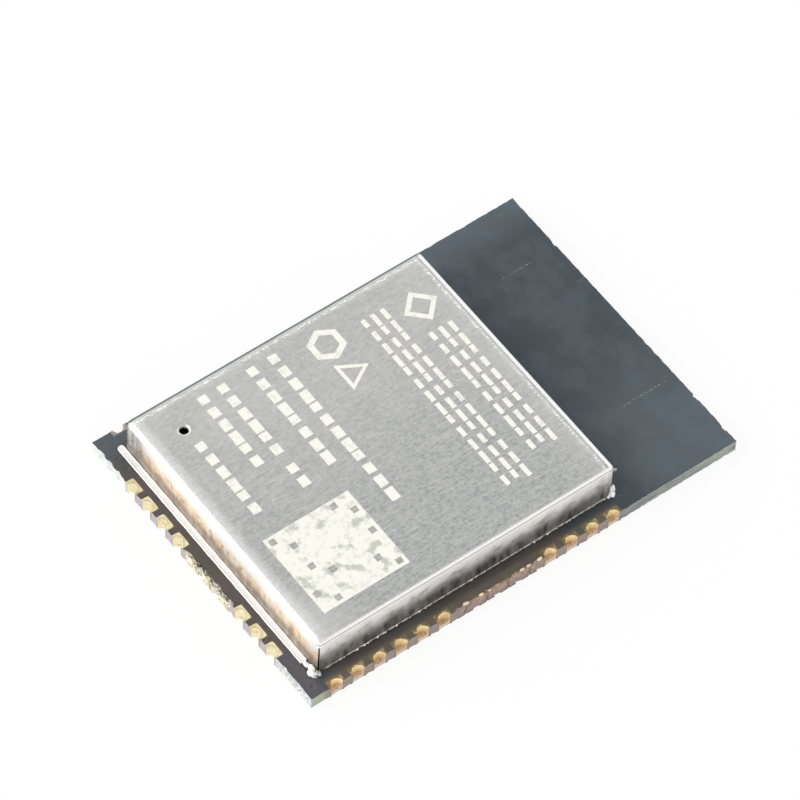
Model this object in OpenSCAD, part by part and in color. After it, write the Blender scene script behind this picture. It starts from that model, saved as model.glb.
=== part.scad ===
// Castellated radio module: a thin board with half-round contacts along three
// edges, a folded antenna trace at the fourth, and a sheet-metal can soldered
// over its circuit. Sizes are in millimetres. The origin is the middle of the
// board's underside, +Y points to the antenna end and +Z to the can.

/* [Board] */
// Width across the two long rows of contacts
board_w = 18; // [17.6:0.1:19]
// Length, antenna end included
board_l = 25.5; // [25:0.1:28]
// Thickness over both layers of solder mask
board_t = 0.8; // [0.6:0.1:1.6]
// Thickness of the copper lands and of the solder mask beside them
skin_t = 0.04; // [0.03:0.01:0.06]
// Bare gap between a land and the mask round it
mask_gap = 0.05; // [0.03:0.01:0.08]

/* [Edge contacts] */
// Contacts in each long row
side_contacts = 14; // [12:1:15]
// Contacts in the row across the end
end_contacts = 10; // [4:1:10]
// Spacing of the contacts in a row
contact_pitch = 1.27; // [1.1:0.01:1.3]
// End of the board to the middle of a long row's first contact
first_contact = 1.5; // [1.4:0.05:2]
// Width of a contact's lands
contact_w = 0.9; // [0.75:0.05:1]
// Reach of a contact's upper land in from the edge
contact_upper = 0.42; // [0.36:0.02:0.6]
// Reach of a contact's lower land in from the edge
contact_lower = 0.85; // [0.6:0.05:0.95]
// Width of the half-round notch in a contact, inside its plating
notch_d = 0.56; // [0.4:0.02:0.6]
// Thickness of the plating in a notch
plating_t = 0.04; // [0.03:0.01:0.06]

/* [Ground pad] */
// Squares along each side of the ground pad
pad_squares = 3; // [2:1:3]
// Side of one square of the ground pad
pad_square = 0.9; // [0.6:0.05:1.1]
// Spacing of the squares
pad_pitch = 1.4; // [1.2:0.05:1.5]
// Middle of the ground pad, left of the middle of the board
pad_left = 1.5; // [1.3:0.1:1.8]
// End of the board to the middle of the ground pad
pad_from_end = 10.3; // [10:0.1:10.8]
// Diameter of a filled via
via_d = 0.3; // [0.2:0.05:0.4]

/* [Shield can] */
// Sides of the board to the can, were it in the middle
can_side_gap = 1.1; // [1:0.05:1.2]
// End of the board to the can
can_from_end = 1.13; // [1.05:0.01:1.3]
// Reach of the can past the last contacts of the long rows
can_past_row = 0.27; // [0:0.01:0.6]
// Height of the can above the board
can_h = 2.3; // [1.8:0.1:3.2]
// Thickness of the can's sheet
can_sheet = 0.2; // [0.12:0.01:0.25]
// Outer radius of the can's bends and corners
can_bend = 0.4; // [0.35:0.05:0.6]
// Middle of the can, right of the middle of the board
can_right = 0.05; // [0:0.01:0.1]
// Width of the open seam down each corner
seam_w = 0.15; // [0.08:0.01:0.2]
// Diameter of the vent hole in the top
vent_d = 0.4; // [0.3:0.05:0.6]
// Left wall of the can to the middle of the vent hole
vent_from_side = 2.1; // [1:0.1:4]
// End wall of the can to the middle of the vent hole
vent_from_end = 2; // [1:0.1:4]

/* [Shield solder] */
// Width of the copper land under each wall, inside the wall's outer face
land_in = 0.4; // [0.3:0.05:0.6]
// Reach of that land outside the side and antenna walls
land_out = 0.12; // [0.08:0.01:0.2]
// Width of the tinned strip outside the end wall
strip_w = 0.38; // [0.3:0.01:0.45]
// Height of the solder on the tinned strip
strip_h = 0.1; // [0.05:0.01:0.2]
// Length of the strip past the left corner of the can
strip_past = 0.2; // [0.2:0.05:0.4]
// Length by which the strip stops short of the right corner
strip_short = 0.75; // [0.5:0.05:2]
// Height of the solder fillets on the other walls
fillet_h = 0.14; // [0.08:0.01:0.3]
// Radius of the solder lumps at the right-hand corners
lump_r = 0.25; // [0.2:0.01:0.3]
// Height of the tall lump's stem at the antenna corner
lump_stem = 0.65; // [0.3:0.05:1]

/* [Antenna] */
// Width of the antenna's copper
trace_w = 0.5; // [0.3:0.05:0.7]
// Thickness of the antenna's copper
trace_t = 0.03; // [0.02:0.01:0.06]
// Upright runs in the folded part
antenna_runs = 7; // [3:1:7]
// Spacing of the upright runs
run_pitch = 1.9; // [1.4:0.1:2]
// Length of an upright run
run_l = 2.95; // [2:0.05:3.2]
// Far edge of the board to the antenna
antenna_edge = 0.5; // [0.4:0.05:0.8]
// Middle of the feed, left of the middle of the board
feed_left = 5.05; // [4.8:0.05:5.4]
// Feed to the leg that is tied to ground
leg_pitch = 1.9; // [1.4:0.1:2]
// Reach of the feed inside the can
feed_in = 1; // [0.8:0.1:1.2]

/* [Processor] */
// Side of the square processor
processor_w = 6; // [5:0.1:6.4]
// Height of the processor
processor_h = 0.85; // [0.6:0.05:1]
// Leads along each side of the processor
processor_lead_count = 12; // [6:1:12]
// Spacing of the processor's leads
lead_pitch = 0.4; // [0.35:0.01:0.4]
// Width of a processor lead
lead_w = 0.2; // [0.15:0.01:0.22]
// Length of a processor lead
lead_l = 0.35; // [0.3:0.01:0.4]
// Thickness of the processor's lead frame
lead_t = 0.2; // [0.1:0.01:0.25]
// Side of the processor's middle paddle
paddle_w = 4.2; // [3.8:0.1:4.2]

/* [Flash memory] */
// Width of the memory's moulded body
flash_w = 4.9; // [4.4:0.1:5]
// Depth of the memory's moulded body
flash_d = 3.9; // [3.6:0.1:4.1]
// Height of the memory's moulded body
flash_h = 1.2; // [0.8:0.05:1.3]
// Gap under the memory's body
flash_lift = 0.1; // [0.05:0.01:0.2]
// Span over the tips of the memory's leads
flash_span = 6; // [5.6:0.1:6.2]
// Leads along each side of the memory
flash_lead_count = 4; // [2:1:4]
// Spacing of the memory's leads
flash_pitch = 1.27; // [1:0.01:1.3]
// Width of a memory lead
flash_lead_w = 0.42; // [0.3:0.02:0.5]
// Thickness of a memory lead
flash_lead_t = 0.2; // [0.15:0.01:0.25]
// Length of a memory lead's foot
flash_foot = 0.55; // [0.45:0.05:0.6]

/* [Crystal] */
// Width of the crystal
crystal_w = 3.2; // [2.5:0.1:3.5]
// Depth of the crystal
crystal_d = 2.5; // [2:0.1:2.7]
// Height of the crystal's ceramic base
crystal_base_h = 0.5; // [0.4:0.05:0.7]
// Height of the crystal's metal lid
crystal_lid_h = 0.25; // [0.15:0.05:0.35]
// Rim of the base round the lid
crystal_rim = 0.12; // [0.08:0.01:0.25]
// Width of a crystal terminal
crystal_pad_w = 1.1; // [0.8:0.05:1.15]
// Depth of a crystal terminal
crystal_pad_d = 0.85; // [0.6:0.05:0.9]
// Thickness of the crystal's terminals
crystal_pad_t = 0.04; // [0.03:0.01:0.08]

/* [Chip parts] */
// Length of a chip part
chip_l = 1; // [0.9:0.05:1.1]
// Width of a chip part
chip_w = 0.5; // [0.4:0.05:0.55]
// Height of a capacitor
capacitor_h = 0.5; // [0.4:0.05:0.6]
// Height of a resistor
resistor_h = 0.35; // [0.3:0.01:0.4]
// Height of an inductor
inductor_h = 0.6; // [0.5:0.05:0.7]
// Length of a terminal on a chip part
band_l = 0.25; // [0.2:0.01:0.3]
// Thickness of the metal of a terminal
band_t = 0.03; // [0.02:0.01:0.04]
// Reach of a part's land beyond its terminal
land_extra = 0.1; // [0.05:0.01:0.15]
// Gap between neighbouring parts, and from them to the can
part_gap = 0.4; // [0.3:0.05:0.5]

/* [Marking] */
// Thickness of the pale marks on the can
mark_t = 0.02; // [0.02:0.01:0.05]
// Width of a stroke in the marks
stroke_w = 0.24; // [0.16:0.01:0.28]
// Side walls of the can to the marks
mark_from_side = 1; // [0.7:0.1:1.2]
// End walls of the can to the marks
mark_from_end = 0.7; // [0.6:0.1:1]
// Radius of the outlined marks
outline_r = 1; // [0.7:0.05:1.1]
// Side of the square field of marks
field_w = 5; // [4:0.1:5.2]
// Walls of the can to the square field
field_margin = 1.3; // [1:0.1:1.6]

/* [Hidden] */

$fn = 48;
// Overshoot of a cutting solid past the face that it cuts
over = 1;

// Board edges and its two copper faces
left = -board_w / 2;
right = board_w / 2;
near = -board_l / 2;
far = board_l / 2;
top_skin = board_t - skin_t;

// Can, as its four outer faces
can_w = board_w - 2 * can_side_gap;
can_x = can_right;
can_left = can_x - can_w / 2;
can_rightmost = can_x + can_w / 2;
can_near = near + can_from_end;
can_far = near + first_contact + (side_contacts - 1) * contact_pitch + contact_w / 2 + can_past_row;
can_l = can_far - can_near;
can_y = (can_near + can_far) / 2;
can_top = board_t + can_h;
vent_x = can_left + vent_from_side;
vent_y = can_near + vent_from_end;

// Ground pad and the processor over it
pad_x = -pad_left;
pad_y = near + pad_from_end;
notch_r = notch_d / 2;
barrel_r = notch_r + plating_t;

// Antenna
feed_x = -feed_left;
run_top = far - antenna_edge;
run_foot = run_top - run_l;

// Memory in the near right-hand corner of the can, with the crystal behind it
flash_x = can_rightmost - can_sheet - part_gap - flash_w / 2;
flash_y = can_near + can_sheet + part_gap + flash_span / 2;
flash_land_l = flash_foot + 2 * land_extra;
crystal_x = flash_x;
crystal_y = flash_y + flash_span / 2 + part_gap + crystal_d / 2;

// The can's top is divided into even steps, along and up, that the marks keep to.
// Each row is [steps along, steps up, strokes, levels, height of a stroke].
stroke_step = (can_w - 2 * mark_from_side) / 16;
level_step = (can_l - 2 * mark_from_end) / 28;
line_h = 2 * stroke_w;
MARK_ROWS = [[2.5, 2, 6, 1, line_h], [0, 4.9, 6, 1, line_h], [0, 6.9, 6, 1, line_h],
             [6.6, 6.9, 2, 1, line_h], [0, 9.9, 8, 1, line_h], [0, 12.1, 12, 1, line_h],
             [1, 20.7, 14, 3, stroke_w], [3.9, 24.6, 10, 3, stroke_w]];
// Each plain outline is [steps along, steps up, corners, turn]
MARK_OUTLINES = [[1.2, 17, 6, 0], [3.6, 17, 3, 90], [2.1, 25.8, 4, 0]];
outline_stroke = 1.5 * stroke_w;

// Chip parts lie in rows round the processor, each as [x, y, turn]
chip_step = chip_l + part_gap;
beside = processor_w / 2 + part_gap + chip_w / 2;
capacitor_places = concat(
    [for (i = [-1.5:1.5]) [pad_x - beside, pad_y + i * chip_step, 90]],
    [for (i = [-1.5:1.5]) [pad_x + i * chip_step, pad_y - beside, 0]],
    [for (i = [-1.5:1.5]) [pad_x + i * chip_step, pad_y + beside, 0]],
    [for (i = [-0.5:0.5])
        [crystal_x + i * chip_step, crystal_y + crystal_d / 2 + part_gap + chip_w / 2, 0]]);
resistor_places = [for (row = [1:2], i = [-1:1])
    [pad_x + i * chip_step, pad_y - beside - row * (chip_w + part_gap), 0]];
inductor_places = [for (i = [0:1])
    [feed_x, can_far - feed_in - chip_l / 2 + band_l - i * chip_step, 90]];

// ---- Places that repeat ----

// Rows of contacts. A child's board edge lies along X, with the board on -Y.
module at_left_contacts() {
    for (i = [0:side_contacts - 1])
        translate([left, near + first_contact + i * contact_pitch, 0]) rotate([0, 0, 90]) children();
}

module at_right_contacts() {
    for (i = [0:side_contacts - 1])
        translate([right, near + first_contact + i * contact_pitch, 0]) rotate([0, 0, -90]) children();
}

module at_end_contacts() {
    for (i = [0:end_contacts - 1])
        translate([(i - (end_contacts - 1) / 2) * contact_pitch, near, 0])
            rotate([0, 0, 180]) children();
}

module at_all_contacts() {
    at_left_contacts() children();
    at_right_contacts() children();
    at_end_contacts() children();
}

module at_pad_squares() {
    for (i = [0:pad_squares - 1], j = [0:pad_squares - 1])
        translate([pad_x + (i - (pad_squares - 1) / 2) * pad_pitch,
                   pad_y + (j - (pad_squares - 1) / 2) * pad_pitch, 0])
            children();
}

module at_processor_leads() {
    for (turn = [0:90:270], i = [0:processor_lead_count - 1])
        translate([pad_x, pad_y, 0]) rotate([0, 0, turn])
            translate([(i - (processor_lead_count - 1) / 2) * lead_pitch, (processor_w - lead_l) / 2, 0])
                children();
}

module at_flash_leads() {
    for (turn = [0, 180], i = [0:flash_lead_count - 1])
        translate([flash_x, flash_y, 0]) rotate([0, 0, turn])
            translate([(i - (flash_lead_count - 1) / 2) * flash_pitch, flash_span / 2, 0]) children();
}

module at_crystal_pads() {
    for (x = [-1, 1], y = [-1, 1])
        translate([crystal_x + x * (crystal_w - crystal_pad_w) / 2,
                   crystal_y + y * (crystal_d - crystal_pad_d) / 2, 0])
            children();
}

module at_places(places) {
    for (p = places) translate([p[0], p[1], 0]) rotate([0, 0, p[2]]) children();
}

// ---- Shapes that repeat ----

// Plate centred on the origin, with its underside at height z
module plate(w, l, t, z = 0) {
    translate([-w / 2, -l / 2, z]) cube([w, l, t]);
}

// Outline of a contact's land, reaching in from the board's edge
module contact_outline(reach, grow = 0) {
    translate([-contact_w / 2 - grow, -reach - grow])
        square([contact_w + 2 * grow, reach + grow + over]);
}

// Outer envelope of the can's walls, from the board up to height h
module can_envelope(h) {
    translate([can_x, can_y, 0]) {
        plate(can_w, can_l - 2 * can_bend, h);
        plate(can_w - 2 * can_bend, can_l, h);
        for (x = [-1, 1], y = [-1, 1])
            translate([x * (can_w / 2 - can_bend), y * (can_l / 2 - can_bend), 0])
                cylinder(r = can_bend, h = h);
    }
}

// ---- Board ----

// Copper path of the antenna as flat rectangles
module antenna_outline() {
    // Feed from inside the can, and the leg beside it that is tied to ground
    translate([feed_x - trace_w / 2, can_far - feed_in])
        square([trace_w, run_top - can_far + feed_in]);
    translate([feed_x - leg_pitch - trace_w / 2, can_far - land_in])
        square([trace_w, run_top - can_far + land_in]);
    translate([feed_x - leg_pitch - trace_w / 2, run_top - trace_w])
        square([leg_pitch + trace_w, trace_w]);
    // Upright runs, joined at the top and the foot by turns
    for (i = [1:antenna_runs - 1]) {
        translate([feed_x + i * run_pitch - trace_w / 2, run_foot]) square([trace_w, run_l]);
        translate([feed_x + (i - 1) * run_pitch - trace_w / 2,
                   i % 2 == 1 ? run_top - trace_w : run_foot])
            square([run_pitch + trace_w, trace_w]);
    }
}

module laminate() {
    color("#aeb5a2") difference() {
        plate(board_w, board_l, board_t - 2 * skin_t, skin_t);
        at_all_contacts() translate([0, 0, -over]) cylinder(r = barrel_r, h = board_t + 2 * over);
        at_pad_squares() cylinder(d = via_d, h = board_t);
        translate([0, 0, top_skin - trace_t]) linear_extrude(trace_t + over) antenna_outline();
    }
}

// Outlines of the lands that carry the parts under the can
module component_outline(grow = 0) {
    at_places(concat(capacitor_places, resistor_places, inductor_places))
        for (side = [-1, 1])
            translate([side * (chip_l - band_l + land_extra) / 2, 0])
                square([band_l + land_extra + 2 * grow, chip_w + 2 * grow], center = true);
    at_processor_leads() square([lead_w + 2 * grow, lead_l + 2 * grow], center = true);
    translate([pad_x, pad_y])
        square([paddle_w + 2 * grow, paddle_w + 2 * grow], center = true);
    at_flash_leads() translate([0, land_extra - flash_land_l / 2])
        square([flash_lead_w + 2 * grow, flash_land_l + 2 * grow], center = true);
    at_crystal_pads()
        square([crystal_pad_w + 2 * grow, crystal_pad_d + 2 * grow], center = true);
}

// Outline of the copper frame under the can, open where the feed crosses it
module shield_outline(grow = 0) {
    inner_w = can_w - 2 * land_in - 2 * grow;
    inner_l = can_l - 2 * land_in - 2 * grow;
    feed_gap = trace_w + 4 * mask_gap;
    difference() {
        translate([can_left - strip_past - grow, can_near - strip_w - grow])
            square([can_w + strip_past + land_out + 2 * grow,
                    can_l + strip_w + land_out + 2 * grow]);
        translate([can_x, can_y]) square([inner_w, inner_l], center = true);
        translate([feed_x - feed_gap / 2 + grow, can_y])
            square([feed_gap - 2 * grow, can_l]);
    }
}

module top_mask() {
    color("#4b545b") translate([0, 0, top_skin]) linear_extrude(skin_t) difference() {
        square([board_w, board_l], center = true);
        at_all_contacts() contact_outline(contact_upper, mask_gap);
        shield_outline(mask_gap);
        component_outline(mask_gap);
    }
}

module bottom_mask() {
    color("#4b545b") linear_extrude(skin_t) difference() {
        square([board_w, board_l], center = true);
        at_all_contacts() contact_outline(contact_lower, mask_gap);
        at_pad_squares()
            square([pad_square + 2 * mask_gap, pad_square + 2 * mask_gap], center = true);
    }
}

// One contact: upper and lower land joined by the plated half-round notch
module contact() {
    color("#e9c98a") difference() {
        union() {
            translate([-contact_w / 2, -contact_upper, top_skin])
                cube([contact_w, contact_upper, skin_t]);
            translate([-contact_w / 2, -contact_lower, 0])
                cube([contact_w, contact_lower, skin_t]);
            intersection() {
                cylinder(r = barrel_r, h = board_t);
                translate([-barrel_r, -barrel_r, 0]) cube([2 * barrel_r, barrel_r, board_t]);
            }
        }
        translate([0, 0, -over]) cylinder(r = notch_r, h = board_t + 2 * over);
    }
}

module contacts_left() { at_left_contacts() contact(); }

module contacts_end() { at_end_contacts() contact(); }

module contacts_right() { at_right_contacts() contact(); }

module ground_pad() {
    color("#e9c98a") at_pad_squares() plate(pad_square, pad_square, skin_t);
}

module filled_vias() {
    color("#c98f5a") at_pad_squares()
        translate([0, 0, skin_t]) cylinder(d = via_d, h = board_t - 2 * skin_t);
}

module antenna_trace() {
    color("#c98f5a") translate([0, 0, top_skin - trace_t])
        linear_extrude(trace_t) antenna_outline();
}

module component_lands() {
    color("#e9c98a") translate([0, 0, top_skin]) linear_extrude(skin_t) component_outline();
}

// ---- Shield can ----

// Section of a wall and its top bend, out from the axis of the bend
module wall_section() {
    difference() {
        intersection() {
            translate([0, can_h - can_bend]) circle(r = can_bend);
            translate([0, can_h - can_bend]) square([can_bend, can_bend]);
        }
        translate([0, can_h - can_bend]) circle(r = can_bend - can_sheet);
    }
    translate([can_bend - can_sheet, 0]) square([can_sheet, can_h - can_bend]);
}

// Straight wall of the given length, with its outer face towards +X
module straight_wall(length) {
    translate([0, length / 2, 0]) rotate([90, 0, 0]) linear_extrude(length) wall_section();
}

module shield_can() {
    bend_x = can_w / 2 - can_bend;
    bend_y = can_l / 2 - can_bend;
    color("#c3c6c5") difference() {
        translate([can_x, can_y, board_t]) {
            plate(2 * bend_x, 2 * bend_y, can_sheet, can_h - can_sheet);
            for (turn = [0, 180]) rotate([0, 0, turn]) {
                translate([bend_x, 0, 0]) straight_wall(2 * bend_y);
                rotate([0, 0, 90]) translate([bend_y, 0, 0]) straight_wall(2 * bend_x);
                translate([bend_x, bend_y, 0]) rotate_extrude(angle = 90) wall_section();
                translate([-bend_x, bend_y, 0]) rotate([0, 0, 90])
                    rotate_extrude(angle = 90) wall_section();
            }
        }
        // Open seams down the corners, up to the foot of the top bend
        for (x = [-1, 1], y = [-1, 1])
            translate([can_x + x * bend_x, can_y + y * bend_y, board_t - over])
                rotate([0, 0, atan2(y, x)]) translate([0, -seam_w / 2, 0])
                    cube([can_bend + over, seam_w, over + can_h - can_bend]);
        translate([vent_x, vent_y, board_t + can_h - can_sheet - over])
            cylinder(d = vent_d, h = can_sheet + 2 * over);
    }
}

module shield_land() {
    color("#d9d9d2") translate([0, 0, top_skin]) linear_extrude(skin_t) shield_outline();
}

// Solder lump that leans on a corner of the can: a stem with a round top
module corner_lump(stem) {
    rotate_extrude() {
        square([lump_r, stem]);
        intersection() {
            translate([0, stem]) circle(r = lump_r);
            translate([0, stem]) square(lump_r);
        }
    }
}

module shield_solder() {
    fillet = [[0, 0], [land_out, 0], [0, fillet_h]];
    run_x = can_w - 2 * can_bend;
    run_y = can_l - 2 * can_bend;
    color("#e4e4e0") translate([0, 0, board_t]) {
        // Tinned strip outside the end wall, round at its left end
        translate([can_left, can_near - strip_w, 0])
            cube([can_w - strip_short, strip_w, strip_h]);
        translate([can_left, can_near - strip_w / 2, 0]) intersection() {
            cylinder(d = strip_w, h = strip_h);
            translate([-strip_w, -strip_w, 0]) cube([strip_w, 2 * strip_w, strip_h]);
        }
        // Thin fillets along the other three walls
        translate([can_rightmost, can_y + run_y / 2, 0]) rotate([90, 0, 0])
            linear_extrude(run_y) polygon(fillet);
        translate([can_left, can_y - run_y / 2, 0]) rotate([90, 0, 180])
            linear_extrude(run_y) polygon(fillet);
        translate([can_x - run_x / 2, can_far, 0]) rotate([90, 0, 90])
            linear_extrude(run_x) polygon(fillet);
        // Lumps at the two right-hand corners
        difference() {
            union() {
                translate([can_rightmost, can_near - lump_r / 2, 0]) corner_lump(strip_h);
                translate([can_rightmost, can_far, 0]) corner_lump(lump_stem);
            }
            can_envelope(can_h);
        }
    }
}

// ---- Marking ----

// Row of short strokes, which differ in length by a simple repeating rule
module stroke_row(along, up, strokes, levels, height) {
    for (i = [0:strokes - 1], j = [0:levels - 1])
        translate([(along + i) * stroke_step, (up + j) * level_step])
            square([stroke_step * (0.6 + 0.1 * ((i * 5 + j * 3) % 4)), height]);
}

// Plain outline with n corners
module outline_mark(along, up, n, turn) {
    translate([along * stroke_step, up * level_step]) rotate([0, 0, turn]) difference() {
        circle(r = outline_r, $fn = n);
        circle(r = outline_r - outline_stroke, $fn = n);
    }
}

// Square field with plain windows in it
module field_marks() {
    cells = 7;
    cell = field_w / cells;
    difference() {
        square(field_w);
        for (i = [0:cells - 1], j = [0:cells - 1])
            if ((i * i + 3 * j + i * j) % 5 == 0)
                translate([(i + 0.25) * cell, (j + 0.25) * cell]) square(cell / 2);
    }
}

module can_marking() {
    color("#f2f0e6") translate([can_left, can_near, can_top]) linear_extrude(mark_t) {
        translate([mark_from_side, mark_from_end]) {
            for (row = MARK_ROWS) stroke_row(row[0], row[1], row[2], row[3], row[4]);
            for (mark = MARK_OUTLINES) outline_mark(mark[0], mark[1], mark[2], mark[3]);
        }
        translate([can_w - field_margin - field_w, field_margin]) field_marks();
    }
}

// ---- Parts under the can ----

module processor_body() {
    color("#2b2c2e") difference() {
        translate([pad_x, pad_y, 0]) plate(processor_w, processor_w, processor_h, board_t);
        at_processor_leads() plate(lead_w, lead_l, lead_t + over, board_t - over);
        translate([pad_x, pad_y, 0]) plate(paddle_w, paddle_w, lead_t + over, board_t - over);
    }
}

module processor_leads() {
    color("#c9c9c4") {
        at_processor_leads() plate(lead_w, lead_l, lead_t, board_t);
        translate([pad_x, pad_y, 0]) plate(paddle_w, paddle_w, lead_t, board_t);
    }
}

module flash_body() {
    color("#2b2c2e") translate([flash_x, flash_y, 0])
        plate(flash_w, flash_d, flash_h, board_t + flash_lift);
}

// Gull-wing lead from its foot's tip at the origin in to the body's side
module flash_lead() {
    body_side = (flash_span - flash_d) / 2;
    shoulder = flash_lift + flash_h / 2;
    rotate([90, 0, 90]) translate([0, 0, -flash_lead_w / 2]) linear_extrude(flash_lead_w)
        polygon([[0, 0], [0, flash_lead_t], [flash_lead_t - flash_foot, flash_lead_t],
                 [flash_lead_t - flash_foot, shoulder], [-body_side, shoulder],
                 [-body_side, shoulder - flash_lead_t], [-flash_foot, shoulder - flash_lead_t],
                 [-flash_foot, 0]]);
}

module flash_leads() {
    color("#c9c9c4") at_flash_leads() translate([0, 0, board_t]) flash_lead();
}

module crystal_base() {
    color("#8d8577") translate([crystal_x, crystal_y, 0])
        plate(crystal_w, crystal_d, crystal_base_h, board_t + crystal_pad_t);
}

module crystal_lid() {
    color("#c8c4b4") translate([crystal_x, crystal_y, 0])
        plate(crystal_w - 2 * crystal_rim, crystal_d - 2 * crystal_rim, crystal_lid_h,
              board_t + crystal_pad_t + crystal_base_h);
}

module crystal_pads() {
    color("#e9c98a") at_crystal_pads()
        plate(crystal_pad_w, crystal_pad_d, crystal_pad_t, board_t);
}

// Core of a chip part, which the terminals close over at both ends
module chip_core(h) {
    plate(chip_l - 2 * band_t, chip_w - 2 * band_t, h - 2 * band_t, board_t + band_t);
}

module chip_terminals(h) {
    for (side = [-1, 1]) difference() {
        translate([side * (chip_l - band_l) / 2, 0, 0]) plate(band_l, chip_w, h, board_t);
        chip_core(h);
    }
}

module capacitor_bodies() {
    color("#b08a62") at_places(capacitor_places) chip_core(capacitor_h);
}

module capacitor_terminals() {
    color("#c9c9c4") at_places(capacitor_places) chip_terminals(capacitor_h);
}

module resistor_bodies() {
    color("#26262a") at_places(resistor_places) chip_core(resistor_h);
}

module resistor_terminals() {
    color("#c9c9c4") at_places(resistor_places) chip_terminals(resistor_h);
}

module inductor_bodies() {
    color("#3f5d74") at_places(inductor_places) chip_core(inductor_h);
}

module inductor_terminals() {
    color("#c9c9c4") at_places(inductor_places) chip_terminals(inductor_h);
}

laminate();
top_mask();
bottom_mask();
contacts_left();
contacts_end();
contacts_right();
ground_pad();
filled_vias();
antenna_trace();
shield_land();
shield_can();
shield_solder();
can_marking();
processor_body();
processor_leads();
flash_body();
flash_leads();
crystal_base();
crystal_lid();
crystal_pads();
capacitor_bodies();
capacitor_terminals();
resistor_bodies();
resistor_terminals();
inductor_bodies();
inductor_terminals();
component_lands();
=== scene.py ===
"""Looks of a castellated radio module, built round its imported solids.

The module is a thin board with half-round plated contacts along three edges, a bare
antenna end and a folded sheet-metal can that is soldered over its circuit. Sizes here
are in millimetres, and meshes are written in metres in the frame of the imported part:
+Y runs to the antenna end, +X to the right-hand contacts and +Z to the can's top.
"""

import logging
import math
from dataclasses import dataclass
from enum import Enum
from typing import Any, Optional, Sequence, Union

import bpy
import numpy as np
from mathutils import Matrix, Vector


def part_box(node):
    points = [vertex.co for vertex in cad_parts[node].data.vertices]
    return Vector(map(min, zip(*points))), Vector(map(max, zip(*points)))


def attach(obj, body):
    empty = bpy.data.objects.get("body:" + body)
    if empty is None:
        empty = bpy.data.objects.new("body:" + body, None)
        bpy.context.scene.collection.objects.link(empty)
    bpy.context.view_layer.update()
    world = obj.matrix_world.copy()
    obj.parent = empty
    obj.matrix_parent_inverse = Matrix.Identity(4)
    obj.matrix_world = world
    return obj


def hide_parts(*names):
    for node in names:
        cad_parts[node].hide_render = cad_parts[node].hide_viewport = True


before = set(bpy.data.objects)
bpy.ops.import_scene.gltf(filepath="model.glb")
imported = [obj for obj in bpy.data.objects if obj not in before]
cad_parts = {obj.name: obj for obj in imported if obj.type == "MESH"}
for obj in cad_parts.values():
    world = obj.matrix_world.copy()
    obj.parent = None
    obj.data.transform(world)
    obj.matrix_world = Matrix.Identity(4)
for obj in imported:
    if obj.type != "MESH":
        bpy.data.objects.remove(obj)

Array = np.ndarray
Shape = tuple[Array, Array]
Pair = tuple[float, float]
Size = tuple[float, float, float]
Colour = tuple[float, float, float, float]
Kit = dict[str, bpy.types.Material]
Source = Union[bpy.types.Node, bpy.types.NodeSocket]
Layer = tuple[str, float, Sequence[Source]]

MM = 0.001
MICRON = 1e-6
BODY = "root"
CREASE_DEGREES = 38.0
X, Y, Z = 0, 1, 2
NONE = np.zeros(0)
log = logging.getLogger("radio_module")


# ---- Numbers ----


def linear(hex_colour: str) -> Colour:
    """Turn an sRGB hex colour into linear light.

    Args:
        hex_colour: Six hex digits after a hash.

    Returns:
        Red, green, blue and an alpha of 1.
    """
    parts = np.array([int(hex_colour[i : i + 2], 16) for i in (1, 3, 5)]) / 255
    light = np.where(parts <= 0.04045, parts / 12.92, ((parts + 0.055) / 1.055) ** 2.4)
    return (*light.tolist(), 1.0)


def smooth(value: Array, low: float, high: float) -> Array:
    """Run from 0 at low to 1 at high with level ends: 3t squared less 2t cubed."""
    t = np.clip((value - low) / (high - low), 0, 1)
    return t * t * (3 - 2 * t)


def hump(value: Array, middle: float, half: float) -> Array:
    """Rise from 0 to 1 at the middle and fall again within half each way."""
    return 1 - smooth(np.abs(value - middle), 0, half)


def within(value: Array, low: float, high: float, soft: float) -> Array:
    """Give 1 between two places, with a smooth side of the soft width centred on each."""
    return smooth(value, low - soft, low + soft) * (1 - smooth(value, high - soft, high + soft))


def round_off(share: Array, least: float) -> Array:
    """Fall from 1 as a share runs from 0 to 1: the root of one less its square, kept above 0."""
    return np.sqrt(np.clip(1 - share**2, least, 1))


def ripple(value: Array, pitch: float, seed: int) -> Array:
    """Mix six sine waves of seeded random lengths and phases.

    Args:
        value: Where the ripple is wanted.
        pitch: Typical length of a wave.
        seed: Picks the waves.

    Returns:
        The waves' sum over the root of their count, mostly from -1 to 1.
    """
    rng, count = np.random.default_rng(seed), 6
    turns = 2 * np.pi / (pitch * rng.uniform(0.6, 1.7, count))
    phases = rng.uniform(0, 2 * np.pi, count)
    return np.sin(np.asarray(value)[..., None] * turns + phases).sum(-1) / math.sqrt(count)


def ripple2(x: Array, y: Array, pitch: float, seed: int) -> Array:
    """Mix nine plane waves that run in seeded random directions over a surface.

    Args:
        x: First coordinate on the surface.
        y: Second coordinate.
        pitch: Typical length of a wave.
        seed: Picks the waves.

    Returns:
        The waves' sum over the root of their count, mostly from -1 to 1.
    """
    rng, count = np.random.default_rng(seed), 9
    turns = 2 * np.pi / (pitch * rng.uniform(0.6, 1.7, count))
    heading = rng.uniform(0, 2 * np.pi, count)
    phases = rng.uniform(0, 2 * np.pi, count)
    across = x[..., None] * np.cos(heading) + y[..., None] * np.sin(heading)
    return np.sin(across * turns + phases).sum(-1) / math.sqrt(count)


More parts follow.
